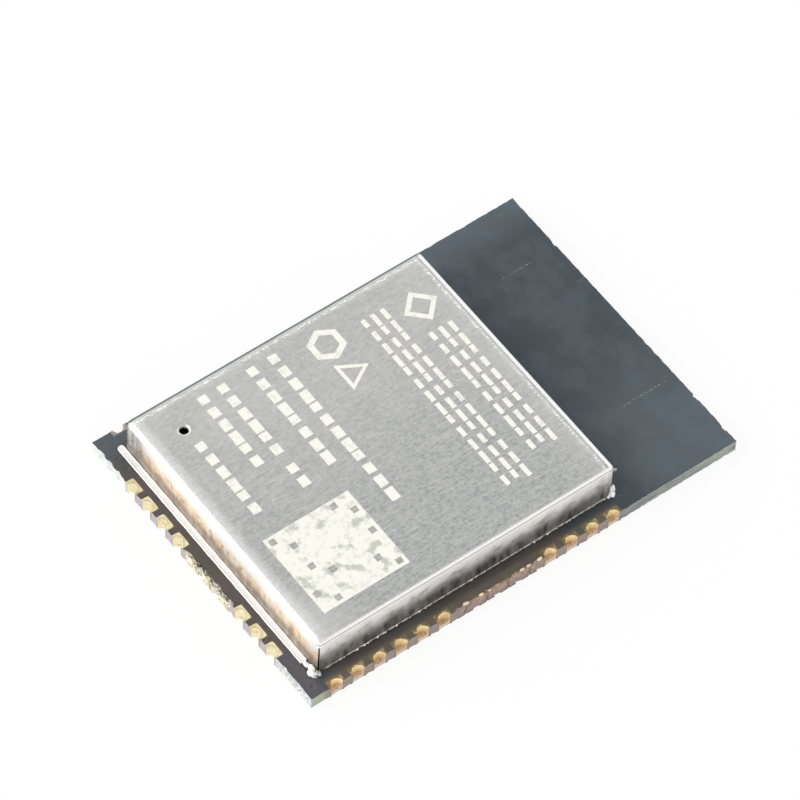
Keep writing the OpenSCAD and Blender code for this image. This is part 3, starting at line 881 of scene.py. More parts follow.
def finishes() -> dict[str, Finish]:
    """List every finish, each with what it gives the eye.

    Returns:
        Finishes by short names.
    """
    marks = solid_boxes("can_marking")
    low, high = marks[np.argmax(np.ptp(marks, axis=1)[:, :2].prod(axis=1))]
    return {
        # Tinned sheet: a soft grey with a fine directional grain that catches light.
        "steel": CanSteel(
            "tinned_steel_cold_rolled", "#d9dad8", "#bcbfbf", 0.33, 1.0, grain_mm=(0.05, 0.09, 0.06),
            grain_um=2.0, patch_mm=(0.11, 0.19, 0.2), patch_levels=(0.38, 0.68), spread=0.05,
        ),
        # Cured epoxy coat: dark blue-grey and satin, with faint clouds and dust.
        "mask": MaskCoat(
            "solder_mask_cured_epoxy", "#3c444b", "#465058", 0.38, ior=1.5, grain_mm=(0.5, 0.5, 0.5),
            grain_um=1.6, patch_mm=(1.9, 1.6, 1.5), patch_levels=(0.4, 0.64),
            scuffs=((4.2, 0.07, 9.4, 12.2), (-5.3, 0.06, 9.2, 11.15)),
        ),
        # Routed glass fibre: matt, grey-green, with pale level fibres.
        "laminate": CutEdge(
            "glass_fibre_laminate_routed", "#a6aba9", "#a3aa9d", 0.7, ior=1.54,
            grain_mm=(0.12, 0.12, 0.05), grain_um=14.0, patch_mm=(2.2, 2.2, 1.0), patch_levels=(0.5, 0.66),
        ),
        # Immersion gold after soldering: peach-bright notches under browned lands.
        "stained_gold": StainedGold(
            "immersion_gold_flux_stained", "#ffeab8", "#ffd6a2", 0.4, 0.4,
            grain_mm=(0.09, 0.09, 0.09), grain_um=1.5, patch_mm=(0.35, 0.35, 0.35),
        ),
        # Gold under a grey film: the dull contacts of the left row.
        "tarnished_gold": StainedGold(
            "immersion_gold_dulled", "#dcd2c8", "#c9bdb2", 0.38, 0.7,
            grain_mm=(0.09, 0.09, 0.09), grain_um=1.5, patch_mm=(0.35, 0.35, 0.35), stain_and_shade="#aaa29a",
        ),
        # Copper and gold dragged down by the router: a dull tan curtain.
        "burr": Finish(
            "copper_gold_burr_routed", "#dcc6b0", "#b9a08a", 0.5, 0.15,
            grain_mm=(0.04, 0.04, 0.08), grain_um=3.0, patch_mm=(0.16, 0.16, 0.16),
        ),
        # Sheet behind the open corners, which boiling flux has browned.
        "browned_steel": Finish(
            "tinned_steel_flux_browned", "#8a7c6e", "#6a5f54", 0.5, 0.3,
            grain_mm=(0.1, 0.1, 0.2), grain_um=2.0, patch_mm=(0.2, 0.2, 0.5),
        ),
        # Torn glass fibre with resin on it: matt cream with brown and grey shreds.
        "frayed_glass": Finish(
            "glass_fibre_torn", "#e6e2d3", "#8d7a62", 0.7, ior=1.54, grain_mm=(0.05, 0.05, 0.05),
            grain_um=3.0, patch_mm=(0.2, 0.2, 0.3), patch_levels=(0.5, 0.66),
        ),
        # Shreds of mask and resin that flux has soaked: olive to dark brown, dull.
        "torn_resin": Finish(
            "mask_resin_torn", "#7d705c", "#4f4337", 0.6, ior=1.5, grain_mm=(0.05, 0.05, 0.05),
            grain_um=3.0, patch_mm=(0.25, 0.25, 0.15), patch_levels=(0.42, 0.6),
        ),
        # Tinned land under a brown film of flux: dark and softly glossy.
        "stained_tin": Finish(
            "tinned_land_flux_film", "#5c554c", "#48443f", 0.4, 0.3, grain_um=1.5, patch_mm=(0.3, 0.3, 0.3)
        ),
        # Immersion gold over nickel: pale satin gold with a slight tarnish.
        "gold": Finish(
            "immersion_gold_plated", "#f7ecc6", "#dcc48e", 0.34, 1.0, grain_mm=(0.06, 0.06, 0.06),
            grain_um=0.9, patch_mm=(0.35, 0.35, 0.35), patch_levels=(0.5, 0.75),
        ),
        # Torn copper: reddish brown, dull and uneven.
        "copper": Finish(
            "copper_torn", "#c39c88", "#94766a", 0.5, 0.6, grain_mm=(0.05, 0.05, 0.05),
            grain_um=2.0, patch_mm=(0.2, 0.2, 0.2),
        ),
        # Reflowed tin solder: nearly white, bright, and faintly rippled.
        "solder": Finish(
            "tin_solder_reflowed", "#ffffff", "#f4f3f0", 0.3, 0.1, grain_mm=(0.16, 0.16, 0.16),
            grain_um=3.0, patch_mm=(0.4, 0.4, 0.4), patch_levels=(0.52, 0.75),
        ),
        # Solder that has wetted gold and set: a smooth cream bead.
        "pale_bead": Finish(
            "tin_gold_bead_set", "#f6e6cc", "#e2c39c", 0.32, 0.5, patch_mm=(0.15, 0.15, 0.15)
        ),
        # Pale laser-etched marks: a matt cream that lets a little grey through.
        "marking": EtchedMark(
            "laser_etched_mark", "#f0eee5", "#e2e1d8", 0.62, ior=1.5, grain_mm=(0.08, 0.08, 0.08),
            grain_um=2.0, patch_mm=(0.3, 0.3, 0.3), patch_levels=(0.52, 0.66),
            field_mm=((low[0], high[0]), (low[1], high[1])),
        ),
        # Epoxy moulding compound: nearly black and finely matt.
        "mould": Finish(
            "epoxy_mould_compound", "#2b2c2e", "#343537", 0.6, ior=1.55, grain_mm=(0.06, 0.06, 0.06),
            grain_um=2.5,
        ),
        # Matt tin plating on leads: a soft pale grey.
        "tin": Finish(
            "matt_tin_plated", "#cfcfca", "#b9b9b4", 0.42, 1.0, grain_mm=(0.05, 0.05, 0.05),
            grain_um=0.8, patch_mm=(0.4, 0.4, 0.4),
        ),
        # Fired alumina of the crystal's base: dull brown-grey.
        "ceramic": Finish("alumina_fired", "#8d8577", "#7c7468", 0.65, ior=1.7, grain_um=1.5),
        # Nickel lid, rolled and seam-welded: warm satin metal.
        "lid": Finish("nickel_lid_rolled", "#c8c4b4", "#b5b0a0", 0.33, 1.0, grain_mm=(0.04, 0.5, 0.1)),
        # Barium titanate ceramic, fired: matt tan.
        "capacitor": Finish("barium_titanate_fired", "#b08a62", "#9c7852", 0.6, ior=1.8),
        # Glass glaze over a resistor's film: glossy black.
        "resistor": Finish("resistor_glass_glaze", "#26262a", "#303036", 0.2, ior=1.52),
        # Blue-grey ferrite ceramic: matt.
        "inductor": Finish("inductor_ceramic_fired", "#3f5d74", "#4a687e", 0.55, ior=1.7),
        # Set flux resin: a pale green-grey bead, half clear and glossy.
        "resin": Finish("flux_resin_set", "#dfe4d4", "#c3cbb4", 0.16, ior=1.52, clear=0.55, grain_um=1.0),
    }


# ---- Board ----


class EdgeName(Enum):
    """Edges of the board, in order round it."""

    END = "end"
    RIGHT = "right"
    FAR = "far"
    LEFT = "left"


CONTACT_FINISH = {EdgeName.END: "gold", EdgeName.RIGHT: "stained_gold", EdgeName.LEFT: "tarnished_gold"}


@dataclass(frozen=True)
class Edge:
    """One edge of the board, with its contacts and its wear.

    A notch has a radius, and its land a reach into the board and a half width, each
    crisp or worn. A bite is a middle, a half width and a depth. The cut wavers a
    little, but for a calm stretch at each end.
    """

    name: EdgeName
    start: Pair
    along: Pair
    inward: Pair
    length: float
    contacts: Array
    worn: tuple[int, ...] = ()
    bites: tuple[Size, ...] = ()
    crisp_radius: float = 0.28
    worn_radius: float = 0.11
    crisp_reach: float = 0.42
    worn_reach: float = 0.15
    crisp_half: float = 0.45
    worn_half: float = 0.2
    peel: float = 0.14
    deepest: float = 0.2
    waver: float = 0.012
    calm: float = 0.15
    lip: float = 0.05
    burr_foot: float = 0.015
    burr_web: float = 0.33
    squareness: float = 8.0
    lower_reach: float = 0.85
    plating: float = 0.04

    def rank(self) -> int:
        """Place of the edge in the order round the board, which picks its seeds."""
        return list(EdgeName).index(self.name)

    def is_worn(self) -> Array:
        """Say of each contact whether it is worn."""
        return np.isin(np.arange(len(self.contacts)), self.worn)

    def radius(self) -> Array:
        """Radius of each contact's notch, inside its plating."""
        return np.where(self.is_worn(), self.worn_radius, self.crisp_radius)

    def reach(self) -> Array:
        """Reach of each contact's upper land in from the edge."""
        return np.where(self.is_worn(), self.worn_reach, self.crisp_reach)

    def half(self) -> Array:
        """Half of the width of each contact's upper land."""
        return np.where(self.is_worn(), self.worn_half, self.crisp_half)

    def place(self, s: Array, depth: Array, z: Array) -> Array:
        """Turn distances along, in from and above an edge into points.

        Args:
            s: Distance along the edge from its start.
            depth: Distance in from the edge.
            z: Height.

        Returns:
            Points, with X, Y and Z along a new last axis.
        """
        s, depth, z = np.broadcast_arrays(s, depth, z)
        x = self.start[0] + s * self.along[0] + depth * self.inward[0]
        y = self.start[1] + s * self.along[1] + depth * self.inward[1]
        return np.stack([x, y, z], axis=-1)

    def fallback(self, s: Array) -> Array:
        """Depth to which the cut edge has broken back.

        Args:
            s: Distance along the edge.

        Returns:
            A fine ripple, plus a rough hump for each bite, and 0 at the ends.
        """
        seed = self.rank() * 10
        depth = self.waver * (1 + ripple(s, 0.5, seed + 1))
        rough = 0.7 + 0.3 * ripple(s, 0.16, seed + 2)
        for middle, half, deep in self.bites:
            depth = depth + deep * hump(s, middle, half) * rough
        ends = smooth(s, 0, self.calm) * smooth(self.length - s, 0, self.calm)
        return np.clip(depth, 0, self.deepest) * ends

    def peeled(self, s: Array) -> Array:
        """Depth to which the coat has peeled: the cut edge's, and more between worn contacts.

        Args:
            s: Distance along the edge.

        Returns:
            Depth for each distance.
        """
        depth = self.fallback(s)
        if self.worn:
            spots = self.contacts[list(self.worn)]
            ragged = 0.75 + 0.25 * ripple(s, 0.2, 77) + 0.12 * ripple(s, 0.09, 78)
            depth = depth + self.peel * within(s, spots[0] - 0.7, spots[-1] + 0.7, 0.2) * ragged
        return np.clip(depth, 0, self.deepest)

    def outline(self, step: float) -> Shape:
        """Trace the cut laminate along this edge, notches included.

        A notch is a half circle: s is its middle less R cos a, and depth is R sin a.

        Args:
            step: Distance between the points of the straight stretches.

        Returns:
            Distance along the edge and depth of each point, in order.
        """
        s = np.arange(0, self.length, step)
        outer = self.radius() + self.plating
        s = s[~(np.abs(s[:, None] - self.contacts) < outer + step / 3).any(axis=1)]
        turn = np.linspace(0, np.pi, 13)
        arc_s = self.contacts[:, None] - outer[:, None] * np.cos(turn)
        arc_depth = outer[:, None] * np.sin(turn)
        depth = np.concatenate([self.fallback(s), arc_depth.ravel()])
        s = np.concatenate([s, arc_s.ravel()])
        order = np.argsort(s)
        return s[order], depth[order]

    def contact_shape(self, top: float, skin: float) -> Shape:
        """Plated contacts of the edge.

        Round each notch by an angle a, a profile runs from the upper land's rim,
        over the lip, down the half-round wall and out to the lower land's rim. The
        upper rim is a rectangle with soft corners: the sum of the eighth powers of
        cos a over half and sin a over reach is 1. The lower rim is a rectangle's
        distance along the ray: the lesser of half over cos a and reach over sin a.

        Args:
            top: Height of the laminate's upper face.
            skin: Thickness of the mask.

        Returns:
            Points and quads of all the contacts.
        """
        corner = [math.atan2(reach, self.crisp_half) for reach in (self.crisp_reach, self.lower_reach)]
        a = np.unique(np.concatenate([np.linspace(0, np.pi, 19), corner, np.pi - np.array(corner)]))[None, :]
        cos, sin = np.maximum(np.abs(np.cos(a)), 1e-6), np.maximum(np.sin(a), 1e-6)
        seed = self.rank() * 100
        which = np.arange(len(self.contacts))[:, None]
        worn = self.is_worn()[:, None].astype(float)
        r = self.radius()[:, None] * (1 + (0.035 + 0.3 * worn) * ripple(a + which * 7.3, 1.1, seed + 3))
        power = self.squareness
        across, inward = cos / self.half()[:, None], sin / self.reach()[:, None]
        upper = (across**power + inward**power) ** (-1 / power)
        ragged = 1 + 0.12 * worn * ripple(a + which * 3.1, 0.7, seed + 5)
        upper = np.maximum(upper * ragged, r + self.lip)
        lower = np.minimum(self.crisp_half / cos, self.lower_reach / sin) * np.ones_like(r)
        lip = np.minimum(self.lip, (upper - r) / 2)
        mid_up, mid_low = (upper + r + lip) / 2, (lower + r + self.lip) / 2
        z = top + skin - 0.01
        face = [r + lip, r + 0.3 * lip, r, r, r, r, r, r + 0.015, r + self.lip]
        front_r = np.stack([upper, mid_up, *face, mid_low, lower], -1)
        front_z = np.array([z, z, z, z - 0.01, z - 0.04, 0.6, 0.42, 0.24, 0.06, 0.015, 0, 0, 0])
        behind = r + self.plating
        back_r = np.stack([upper, mid_up, *[behind] * 8, behind + 0.02, mid_low, lower], -1)
        foot = [0.6, 0.42, 0.24, 0.08, 0.05, skin, skin, skin]
        back_z = np.array([top, top, top, top - 0.01, top - 0.03, *foot])
        round_way = np.broadcast_to(a[..., None], front_r.shape) * 1.3
        down = np.broadcast_to(front_z * 9, front_r.shape) + which[..., None] * 5
        groove = 1 + 0.03 * ripple2(round_way, down, 1.5, seed + 9)
        front_r = np.where(np.arange(front_r.shape[-1]) > 3, front_r * groove, front_r)
        faces = []
        for radial, height in ((front_r, front_z), (back_r, back_z)):
            s = self.contacts[:, None, None] - radial * np.cos(a)[..., None]
            depth = np.clip(radial * np.sin(a)[..., None], 0, None)
            faces.append(self.place(s, depth, height).reshape(-1, 3))
        rows, columns = front_r.shape[1:]
        quads = repeated(lattice(rows, columns)[:, ::-1], rows * columns, len(self.contacts))
        return Skin(faces[0], faces[1], quads).closed()

    def burr_shape(self) -> Shape:
        """Burrs of plating that the router left across the foot of each sound notch.

        A burr is a curtain with a web on its top: along it u runs from -1 to 1 over
        the notch's chord, and it bows in by one less u squared. Its ragged top rises
        with the fourth power of u. Where v is below 0 it is the curtain; above 0 it is
        the web, which reaches into the notch by the root of one less u squared.

        Returns:
            Points and quads of all the burrs.
        """
        rows, columns, foot = 15, 9, self.burr_foot
        sound = ~self.is_worn()
        middle = self.contacts[sound][:, None, None]
        wide = self.radius()[sound][:, None, None] + 0.05
        u, v = grid(np.linspace(-1, 1, rows), np.linspace(-1, 1, columns))
        u, v = u[None], v[None]
        top = 0.27 + 0.42 * u**4 + 0.03 * ripple(u * 2.2 + middle * 5.3, 0.8, 97)
        s = middle + wide * u
        inside = np.clip(v, 0, 1)
        z = foot + (top - foot) * np.clip(v + 1, 0, 1) - 0.05 * inside
        depth = 0.008 + 0.03 * (1 - u * u) + self.burr_web * round_off(u, 0.02) * inside
        front = self.place(s, depth, z).reshape(-1, 3)
        back = self.place(s, depth + 0.025 * (v <= 0), z - 0.02 * (v >= 0)).reshape(-1, 3)
        return Skin(front, back, repeated(lattice(rows, columns), rows * columns, len(middle))).closed()


@dataclass(frozen=True)
class Shreds:
    """Torn flakes that lie along a stretch of a cut edge, each between two sizes."""

    stretch: Pair
    count: int
    half_long: Pair
    half_tall: Pair
    level: Pair
    seed: int
    sunk: float = 0.02
    thick: float = 0.03

    def shape(self, edge: Edge) -> Shape:
        """Flakes as small leaves.

        A leaf's half width falls off as the root of one less the square of the way
        along it, and it bows out in a half sine.

        Args:
            edge: Edge that carries the flakes.

        Returns:
            Points and quads of all the flakes.
        """
        rng, rows, columns, one = np.random.default_rng(self.seed), 8, 4, (self.count, 1, 1)
        u, v = grid(np.linspace(-1, 1, rows), np.linspace(-1, 1, columns))
        u, v = u[None], v[None]
        length, tall = rng.uniform(*self.half_long, one), rng.uniform(*self.half_tall, one)
        middle, height = rng.uniform(*self.stretch, one), rng.uniform(*self.level, one)
        lean, bow = rng.uniform(-0.3, 0.3, one), rng.uniform(0.02, 0.06, one)
        wide = round_off(u, 0.02) * (1 + 0.3 * ripple(u * 2 + middle * 9, 0.9, self.seed))
        s = middle + length * u + 0.03 * v
        z = np.clip(height + tall * wide * v + lean * length * u, 0.1, 0.79)
        arch = bow * np.cos(u * np.pi / 2) * np.cos(v * np.pi / 2)
        depth = np.clip(edge.fallback(s) + self.sunk - arch, 0.001, None)
        front = edge.place(s, depth, z).reshape(-1, 3)
        back = edge.place(s, depth + self.thick, z).reshape(-1, 3)
        return Skin(front, back, repeated(lattice(rows, columns), rows * columns, self.count)).closed()


@dataclass
class Board:
    """Laminate, the mask on its two faces and the wear along its edges."""

    low: Array
    high: Array
    edges: list[Edge]
    skin: float = 0.04
    gap: float = 0.01
    pull_back: float = 0.07
    step: float = 0.07
    fray: float = 0.11
    lip: float = 0.012
    rim_line: float = 0.04
    margin: float = 0.22
    cap_in: float = 3.0
    feed_x: float = -5.05
    feed_foot: float = 5.0
    run_pitch: float = 1.9
    run_count: int = 7
    run_top: float = 12.25
    run_foot: float = 9.3
    trace: float = 0.5
    bevel: float = 0.045
    raise_by: float = 0.01
    dimple_radius: float = 0.17
    dimple_depth: float = 0.03
    dimple_rim: Pair = (0.008, 0.06)
    dimples: tuple[Pair, ...] = (
        (-8.53, -12.37), (-7.47, -12.29), (-6.74, -12.27), (8.43, -12.25), (-3.12, 12.41), (8.19, 6.23)
    )

    @classmethod
    def from_frame(cls) -> "Board":
        """Read the board's size and its contacts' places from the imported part.

        Returns:
            The board, with the wear of each edge.
        """
        low, high = node_box("laminate")
        (x0, y0), (x1, y1) = low[:2], high[:2]
        width, length = x1 - x0, y1 - y0
        end, right, left = (solid_boxes("contacts_" + side).mean(axis=1) for side in ("end", "right", "left"))
        chewed = (
            (0.75, 0.4, 0.13), (1.5, 0.35, 0.11), (2.2, 0.3, 0.12), (8.1, 0.3, 0.08), (8.95, 0.45, 0.15),
            (9.7, 0.3, 0.1), (10.3, 0.35, 0.15), (11.3, 0.35, 0.1), (15.9, 0.4, 0.05), (16.9, 0.5, 0.05),
        )
        dragged = ((9.75, 0.4, 0.04), (10.9, 0.5, 0.05), (12.2, 0.45, 0.05), (13.4, 0.4, 0.04))
        nicked = ((0.97, 0.28, 0.15), (3.2, 0.25, 0.12), (14.55, 0.25, 0.12))
        return cls(low, high, [
            Edge(EdgeName.END, (x0, y0), (1, 0), (0, 1), width, np.sort(end[:, 0]) - x0,
                 (4, 5, 6), chewed, worn_radius=0.04, worn_reach=0.09, worn_half=0.12),
            Edge(EdgeName.RIGHT, (x1, y0), (0, 1), (-1, 0), length, np.sort(right[:, 1]) - y0,
                 (6, 7, 8, 9), dragged, crisp_radius=0.33, worn_radius=0.03, worn_reach=0.08, worn_half=0.09),
            Edge(EdgeName.FAR, (x1, y1), (-1, 0), (0, -1), width, NONE, bites=nicked),
            Edge(EdgeName.LEFT, (x0, y1), (0, -1), (1, 0), length, np.sort(y1 - left[:, 1]),
                 bites=((3.1, 0.3, 0.06), (5.2, 0.25, 0.05)), crisp_reach=0.33),
        ])

    def laminate_shape(self) -> Shape:
        """Carry the outline up the board's thickness, with rough plies.

        Each point is moved in by its own seeded depth, which is averaged along the
        outline so that it forms level fibres, and fades at the two faces.

        Returns:
            Points and quads of the closed laminate.
        """
        traced = [(edge, *edge.outline(self.step)) for edge in self.edges]
        ring = np.concatenate([edge.place(s, depth, 0.0)[:, :2] for edge, s, depth in traced])
        push = np.concatenate([np.repeat([edge.inward], len(s), axis=0) for edge, s, _ in traced])
        levels = np.linspace(self.skin, self.high[2], 9)
        loose = np.random.default_rng(11).random((len(ring), len(levels)))
        fibre = sum(np.roll(loose, k, axis=0) for k in range(-3, 4)) / 7
        fade = np.sin(np.linspace(0, np.pi, len(levels))) ** 0.5
        moved = self.fray * np.clip(fibre - 0.3, 0, 1) * fade
        flat = ring[:, None] + push[:, None] * moved[..., None]
        points = [points_of(flat[..., 0], flat[..., 1], levels)]
        faces = [lattice(len(ring), len(levels), wrap=True)]
        spine = np.clip(ring, self.low[:2] + self.cap_in, self.high[:2] - self.cap_in)
        middle = np.zeros_like(spine) + (self.low[:2] + self.high[:2]) / 2
        whole, start = np.arange(len(ring)), len(points[0])
        for level, turn in ((0, 1), (len(levels) - 1, -1)):
            points += [points_of(p[:, 0], p[:, 1], levels[level]) for p in (spine, middle)]
            index = np.stack([whole * len(levels) + level, start + whole, start + len(ring) + whole], 1)
            ahead = np.roll(index, -1, axis=0)
            for k in (0, 1):
                cap = np.stack([index[:, k], index[:, k + 1], ahead[:, k + 1], ahead[:, k]], 1)
                faces.append(cap[:, ::turn])
            start += 2 * len(ring)
        skin = np.concatenate(points)
        return Skin(skin, skin, np.concatenate(faces)).alone()

    def opened(self, boxes: Array) -> Array:
        """Openings just larger than some boxes, as the lowest and highest X and Y of each."""
        return np.concatenate([boxes[:, 0, :2] - self.gap, boxes[:, 1, :2] + self.gap], axis=1)

    def contact_openings(self, reach: Sequence[Array], half: Sequence[Array]) -> Array:
        """Openings over the lands, as the lowest and highest X and Y of each.

        Args:
            reach: Reach of the lands along each edge.
            half: Half width of the lands along each edge.

        Returns:
            One row of four numbers for each contact.
        """
        rows = []
        for edge, deep, wide in zip(self.edges, reach, half):
            a = edge.place(edge.contacts - wide - self.gap, -1.0, 0.0)[:, :2]
            b = edge.place(edge.contacts + wide + self.gap, deep + self.gap, 0.0)[:, :2]
            rows.append(np.concatenate([np.minimum(a, b), np.maximum(a, b)], axis=1))
        return np.concatenate(rows)

    def relief(self, x: Array, y: Array) -> Array:
        """Height that the coat gains over the antenna and loses in the dimples.

        The antenna is the highest of its runs and turns, each a flat top with
        smooth sides. A dimple is a smooth hump, taken away, with a faint rim.

        Args:
            x: First coordinate of the points.
            y: Second coordinate of the points.

        Returns:
            Change of height for each point.
        """
        half, boxes = self.trace / 2, []
        for i in range(-1, self.run_count):
            run = self.feed_x + i * self.run_pitch
            foot = self.feed_foot if i < 1 else self.run_foot
            boxes.append((run - half, foot, run + half, self.run_top))
            if i < self.run_count - 1:
                level = self.run_foot if i > 0 and i % 2 else self.run_top - self.trace
                boxes.append((run, level, run + self.run_pitch, level + self.trace))
        over = np.zeros_like(x)
        for x0, y0, x1, y1 in boxes:
            over = np.maximum(over, within(x, x0, x1, self.bevel) * within(y, y0, y1, self.bevel))
        height = over * self.raise_by
        rim, rim_half = self.dimple_rim
        for cx, cy in self.dimples:
            away = np.hypot(x - cx, y - cy)
            height = height - self.dimple_depth * (1 - smooth(away, 0, self.dimple_radius))
            height = height + rim * hump(away, self.dimple_radius, rim_half)
        return height

    def coat(self, xs: Array, ys: Array, openings: Array, outer: float, inner: float, shaped: bool) -> Shape:
        """Spread a coat of mask over the lattice of two sets of lines.

        Cells inside an opening are left out. Lines on the board's edges are moved in
        by the wear of that edge, and every rim is rounded by a small lip.

        Args:
            xs: Lines across X.
            ys: Lines across Y.
            openings: Lowest and highest X and Y of each opening.
            outer: Height of the outer face.
            inner: Height of the face on the laminate.
            shaped: Whether the outer face carries the antenna's relief. A plain coat
                stops short of the board's edges.

        Returns:
            Points and quads of the closed coat.
        """
        cx, cy = (xs[1:] + xs[:-1]) / 2, (ys[1:] + ys[:-1]) / 2
        in_x = (cx[:, None] > openings[:, 0]) & (cx[:, None] < openings[:, 2])
        in_y = (cy[:, None] > openings[:, 1]) & (cy[:, None] < openings[:, 3])
        keep = ~(in_x[:, None, :] & in_y[None, :, :]).any(axis=-1)
        padded = np.pad(keep, 1).astype(int)
        touching = padded[1:, 1:] + padded[:-1, 1:] + padded[1:, :-1] + padded[:-1, :-1]
        x, y = grid(xs, ys)
        flat = np.stack([x, y], axis=-1)
        for edge in self.edges:
            normal = np.array(edge.inward, dtype=float)
            from_edge = (flat - edge.start) @ normal
            s = (flat - edge.start) @ np.array(edge.along, dtype=float)
            drawn = edge.peeled(s) + (0.0 if shaped else self.pull_back)
            moved = np.where(np.abs(from_edge) < 1e-6, drawn, 0.0)
            flat = flat + moved[..., None] * normal
        up = 1.0 if outer > inner else -1.0
        z = outer - up * self.lip * np.where((touching < 4) & (touching > 0), 1.0, 0.0)
        if shaped:
            z = z - self.lip / 2 + self.relief(x, y)
        quads = lattice(len(xs), len(ys))[keep.ravel()]
        front = points_of(flat[..., 0], flat[..., 1], z)
        back = points_of(flat[..., 0], flat[..., 1], inner)
        return Skin(front, back, quads if up > 0 else quads[:, ::-1]).closed()

    def lines(self, openings: Array, extra: Sequence[Array], step: float) -> list[Array]:
        """Rule lines both ways that follow every opening, with one more outside each rim.

        Args:
            openings: Lowest and highest X and Y of each opening.
            extra: More marks across X and across Y.
            step: Greatest distance between neighbours.

        Returns:
            Lines across X and lines across Y.
        """
        both = []
        for axis in (X, Y):
            low, high = self.low[axis], self.high[axis]
            a, b = openings[:, axis], openings[:, axis + 2]
            inset = [low + self.margin, high - self.margin]
            marks = np.concatenate([a, b, a - self.rim_line, b + self.rim_line, inset, extra[axis]])
            lines = ruled(low, high, marks, step)
            away = np.minimum(lines - low, high - lines)
            both.append(lines[(away <= 0) | (away >= self.margin - 0.01)])
        return both

    def top_coat(self, ring: Array) -> Shape:
        """Mask outside the can: open over the contacts and over the can's land.

        Args:
            ring: Lowest and highest corner of the can's land.

        Returns:
            Points and quads.
        """
        lands = self.contact_openings([e.reach() for e in self.edges], [e.half() for e in self.edges])
        openings = np.concatenate([lands, self.opened(ring[None])])
        around = np.array([-1.2, -0.8, -0.4, 0.0, 0.4, 0.8, 1.2]) * self.dimple_radius
        either = np.array([-1, 1])
        runs = self.feed_x + np.arange(-1, self.run_count) * self.run_pitch
        sides = (runs[:, None] + either * self.trace / 2).ravel()
        tops = np.array([self.run_top, self.run_top - self.trace, self.run_foot, self.run_foot + self.trace])
        bevels = either * self.bevel
        extra = [
            np.concatenate([(middle[:, None] + around).ravel(), (marks[:, None] + bevels).ravel()])
            for middle, marks in zip(np.array(self.dimples).T, (sides, tops))
        ]
        top = self.high[2]
        return self.coat(*self.lines(openings, extra, 0.13), openings, top + self.skin, top, True)

    def inner_coat(self, ring: Sequence[float], lands: Array) -> Shape:
        """Mask under the can, open over the land of each part.

        Args:
            ring: Lowest and highest X and Y of the coat.
            lands: Lowest and highest corner of each land.

        Returns:
            Points and quads.
        """
        grown = self.opened(lands)
        lines = [ruled(ring[k], ring[k + 2], grown[:, [k, k + 2]].ravel(), 1.2) for k in (X, Y)]
        return self.coat(*lines, grown, self.high[2] + self.skin, self.high[2], False)

    def bottom_coat(self, pads: Array) -> Shape:
        """Mask on the underside, open over the lower lands and the ground pad.

        Args:
            pads: Lowest and highest corner of each square of the ground pad.

        Returns:
            Points and quads.
        """
        deep = [np.full(len(e.contacts), e.lower_reach) for e in self.edges]
        wide = [np.full(len(e.contacts), e.crisp_half) for e in self.edges]
        openings = np.concatenate([self.contact_openings(deep, wide), self.opened(pads)])
        return self.coat(*self.lines(openings, (NONE, NONE), 0.4), openings, 0.0, self.skin, False)

    def build(self, kit: Kit, land: Array, can: "Can") -> None:
        """Make and dress the board's pieces.

        Args:
            kit: Materials by name.
            land: Lowest and highest corner of the can's land.
            can: The can that stands on the board.
        """
        add_piece("laminate_routed", self.laminate_shape(), kit["laminate"], ["laminate"])
        add_piece("mask_top", self.top_coat(land), kit["mask"], ["top_mask"])
        inner = self.inner_coat(can.inner_ring(self.gap), solid_boxes("component_lands"))
        add_piece("mask_under_can", inner, kit["mask"], ["top_mask"])
        bottom = self.bottom_coat(solid_boxes("ground_pad"))
        add_piece("mask_underside", bottom, kit["mask"], ["bottom_mask"])
        for edge in self.edges:
            if len(edge.contacts):
                node = "contacts_" + edge.name.value
                plated = edge.contact_shape(self.high[2], self.skin)
                add_piece("plated_" + node, plated, kit[CONTACT_FINISH[edge.name]], [node])
        end, right = self.edges[:2]
        fibres = Shreds((7.9, 11.3), 90, (0.04, 0.1), (0.08, 0.2), (0.18, 0.6), 5)
        add_piece("torn_fibres_end", fibres.shape(end), kit["frayed_glass"])
        peel = Shreds((7.9, 11.3), 60, (0.06, 0.2), (0.03, 0.09), (0.6, 0.78), 6)
        add_piece("torn_mask_end", peel.shape(end), kit["torn_resin"])
        flakes = Shreds((9.2, 13.9), 30, (0.12, 0.3), (0.05, 0.1), (0.4, 0.74), 8)
        add_piece("torn_copper_right", flakes.shape(right), kit["copper"])
        add_piece("burrs_right", right.burr_shape(), kit["burr"])


# ---- Shield can ----


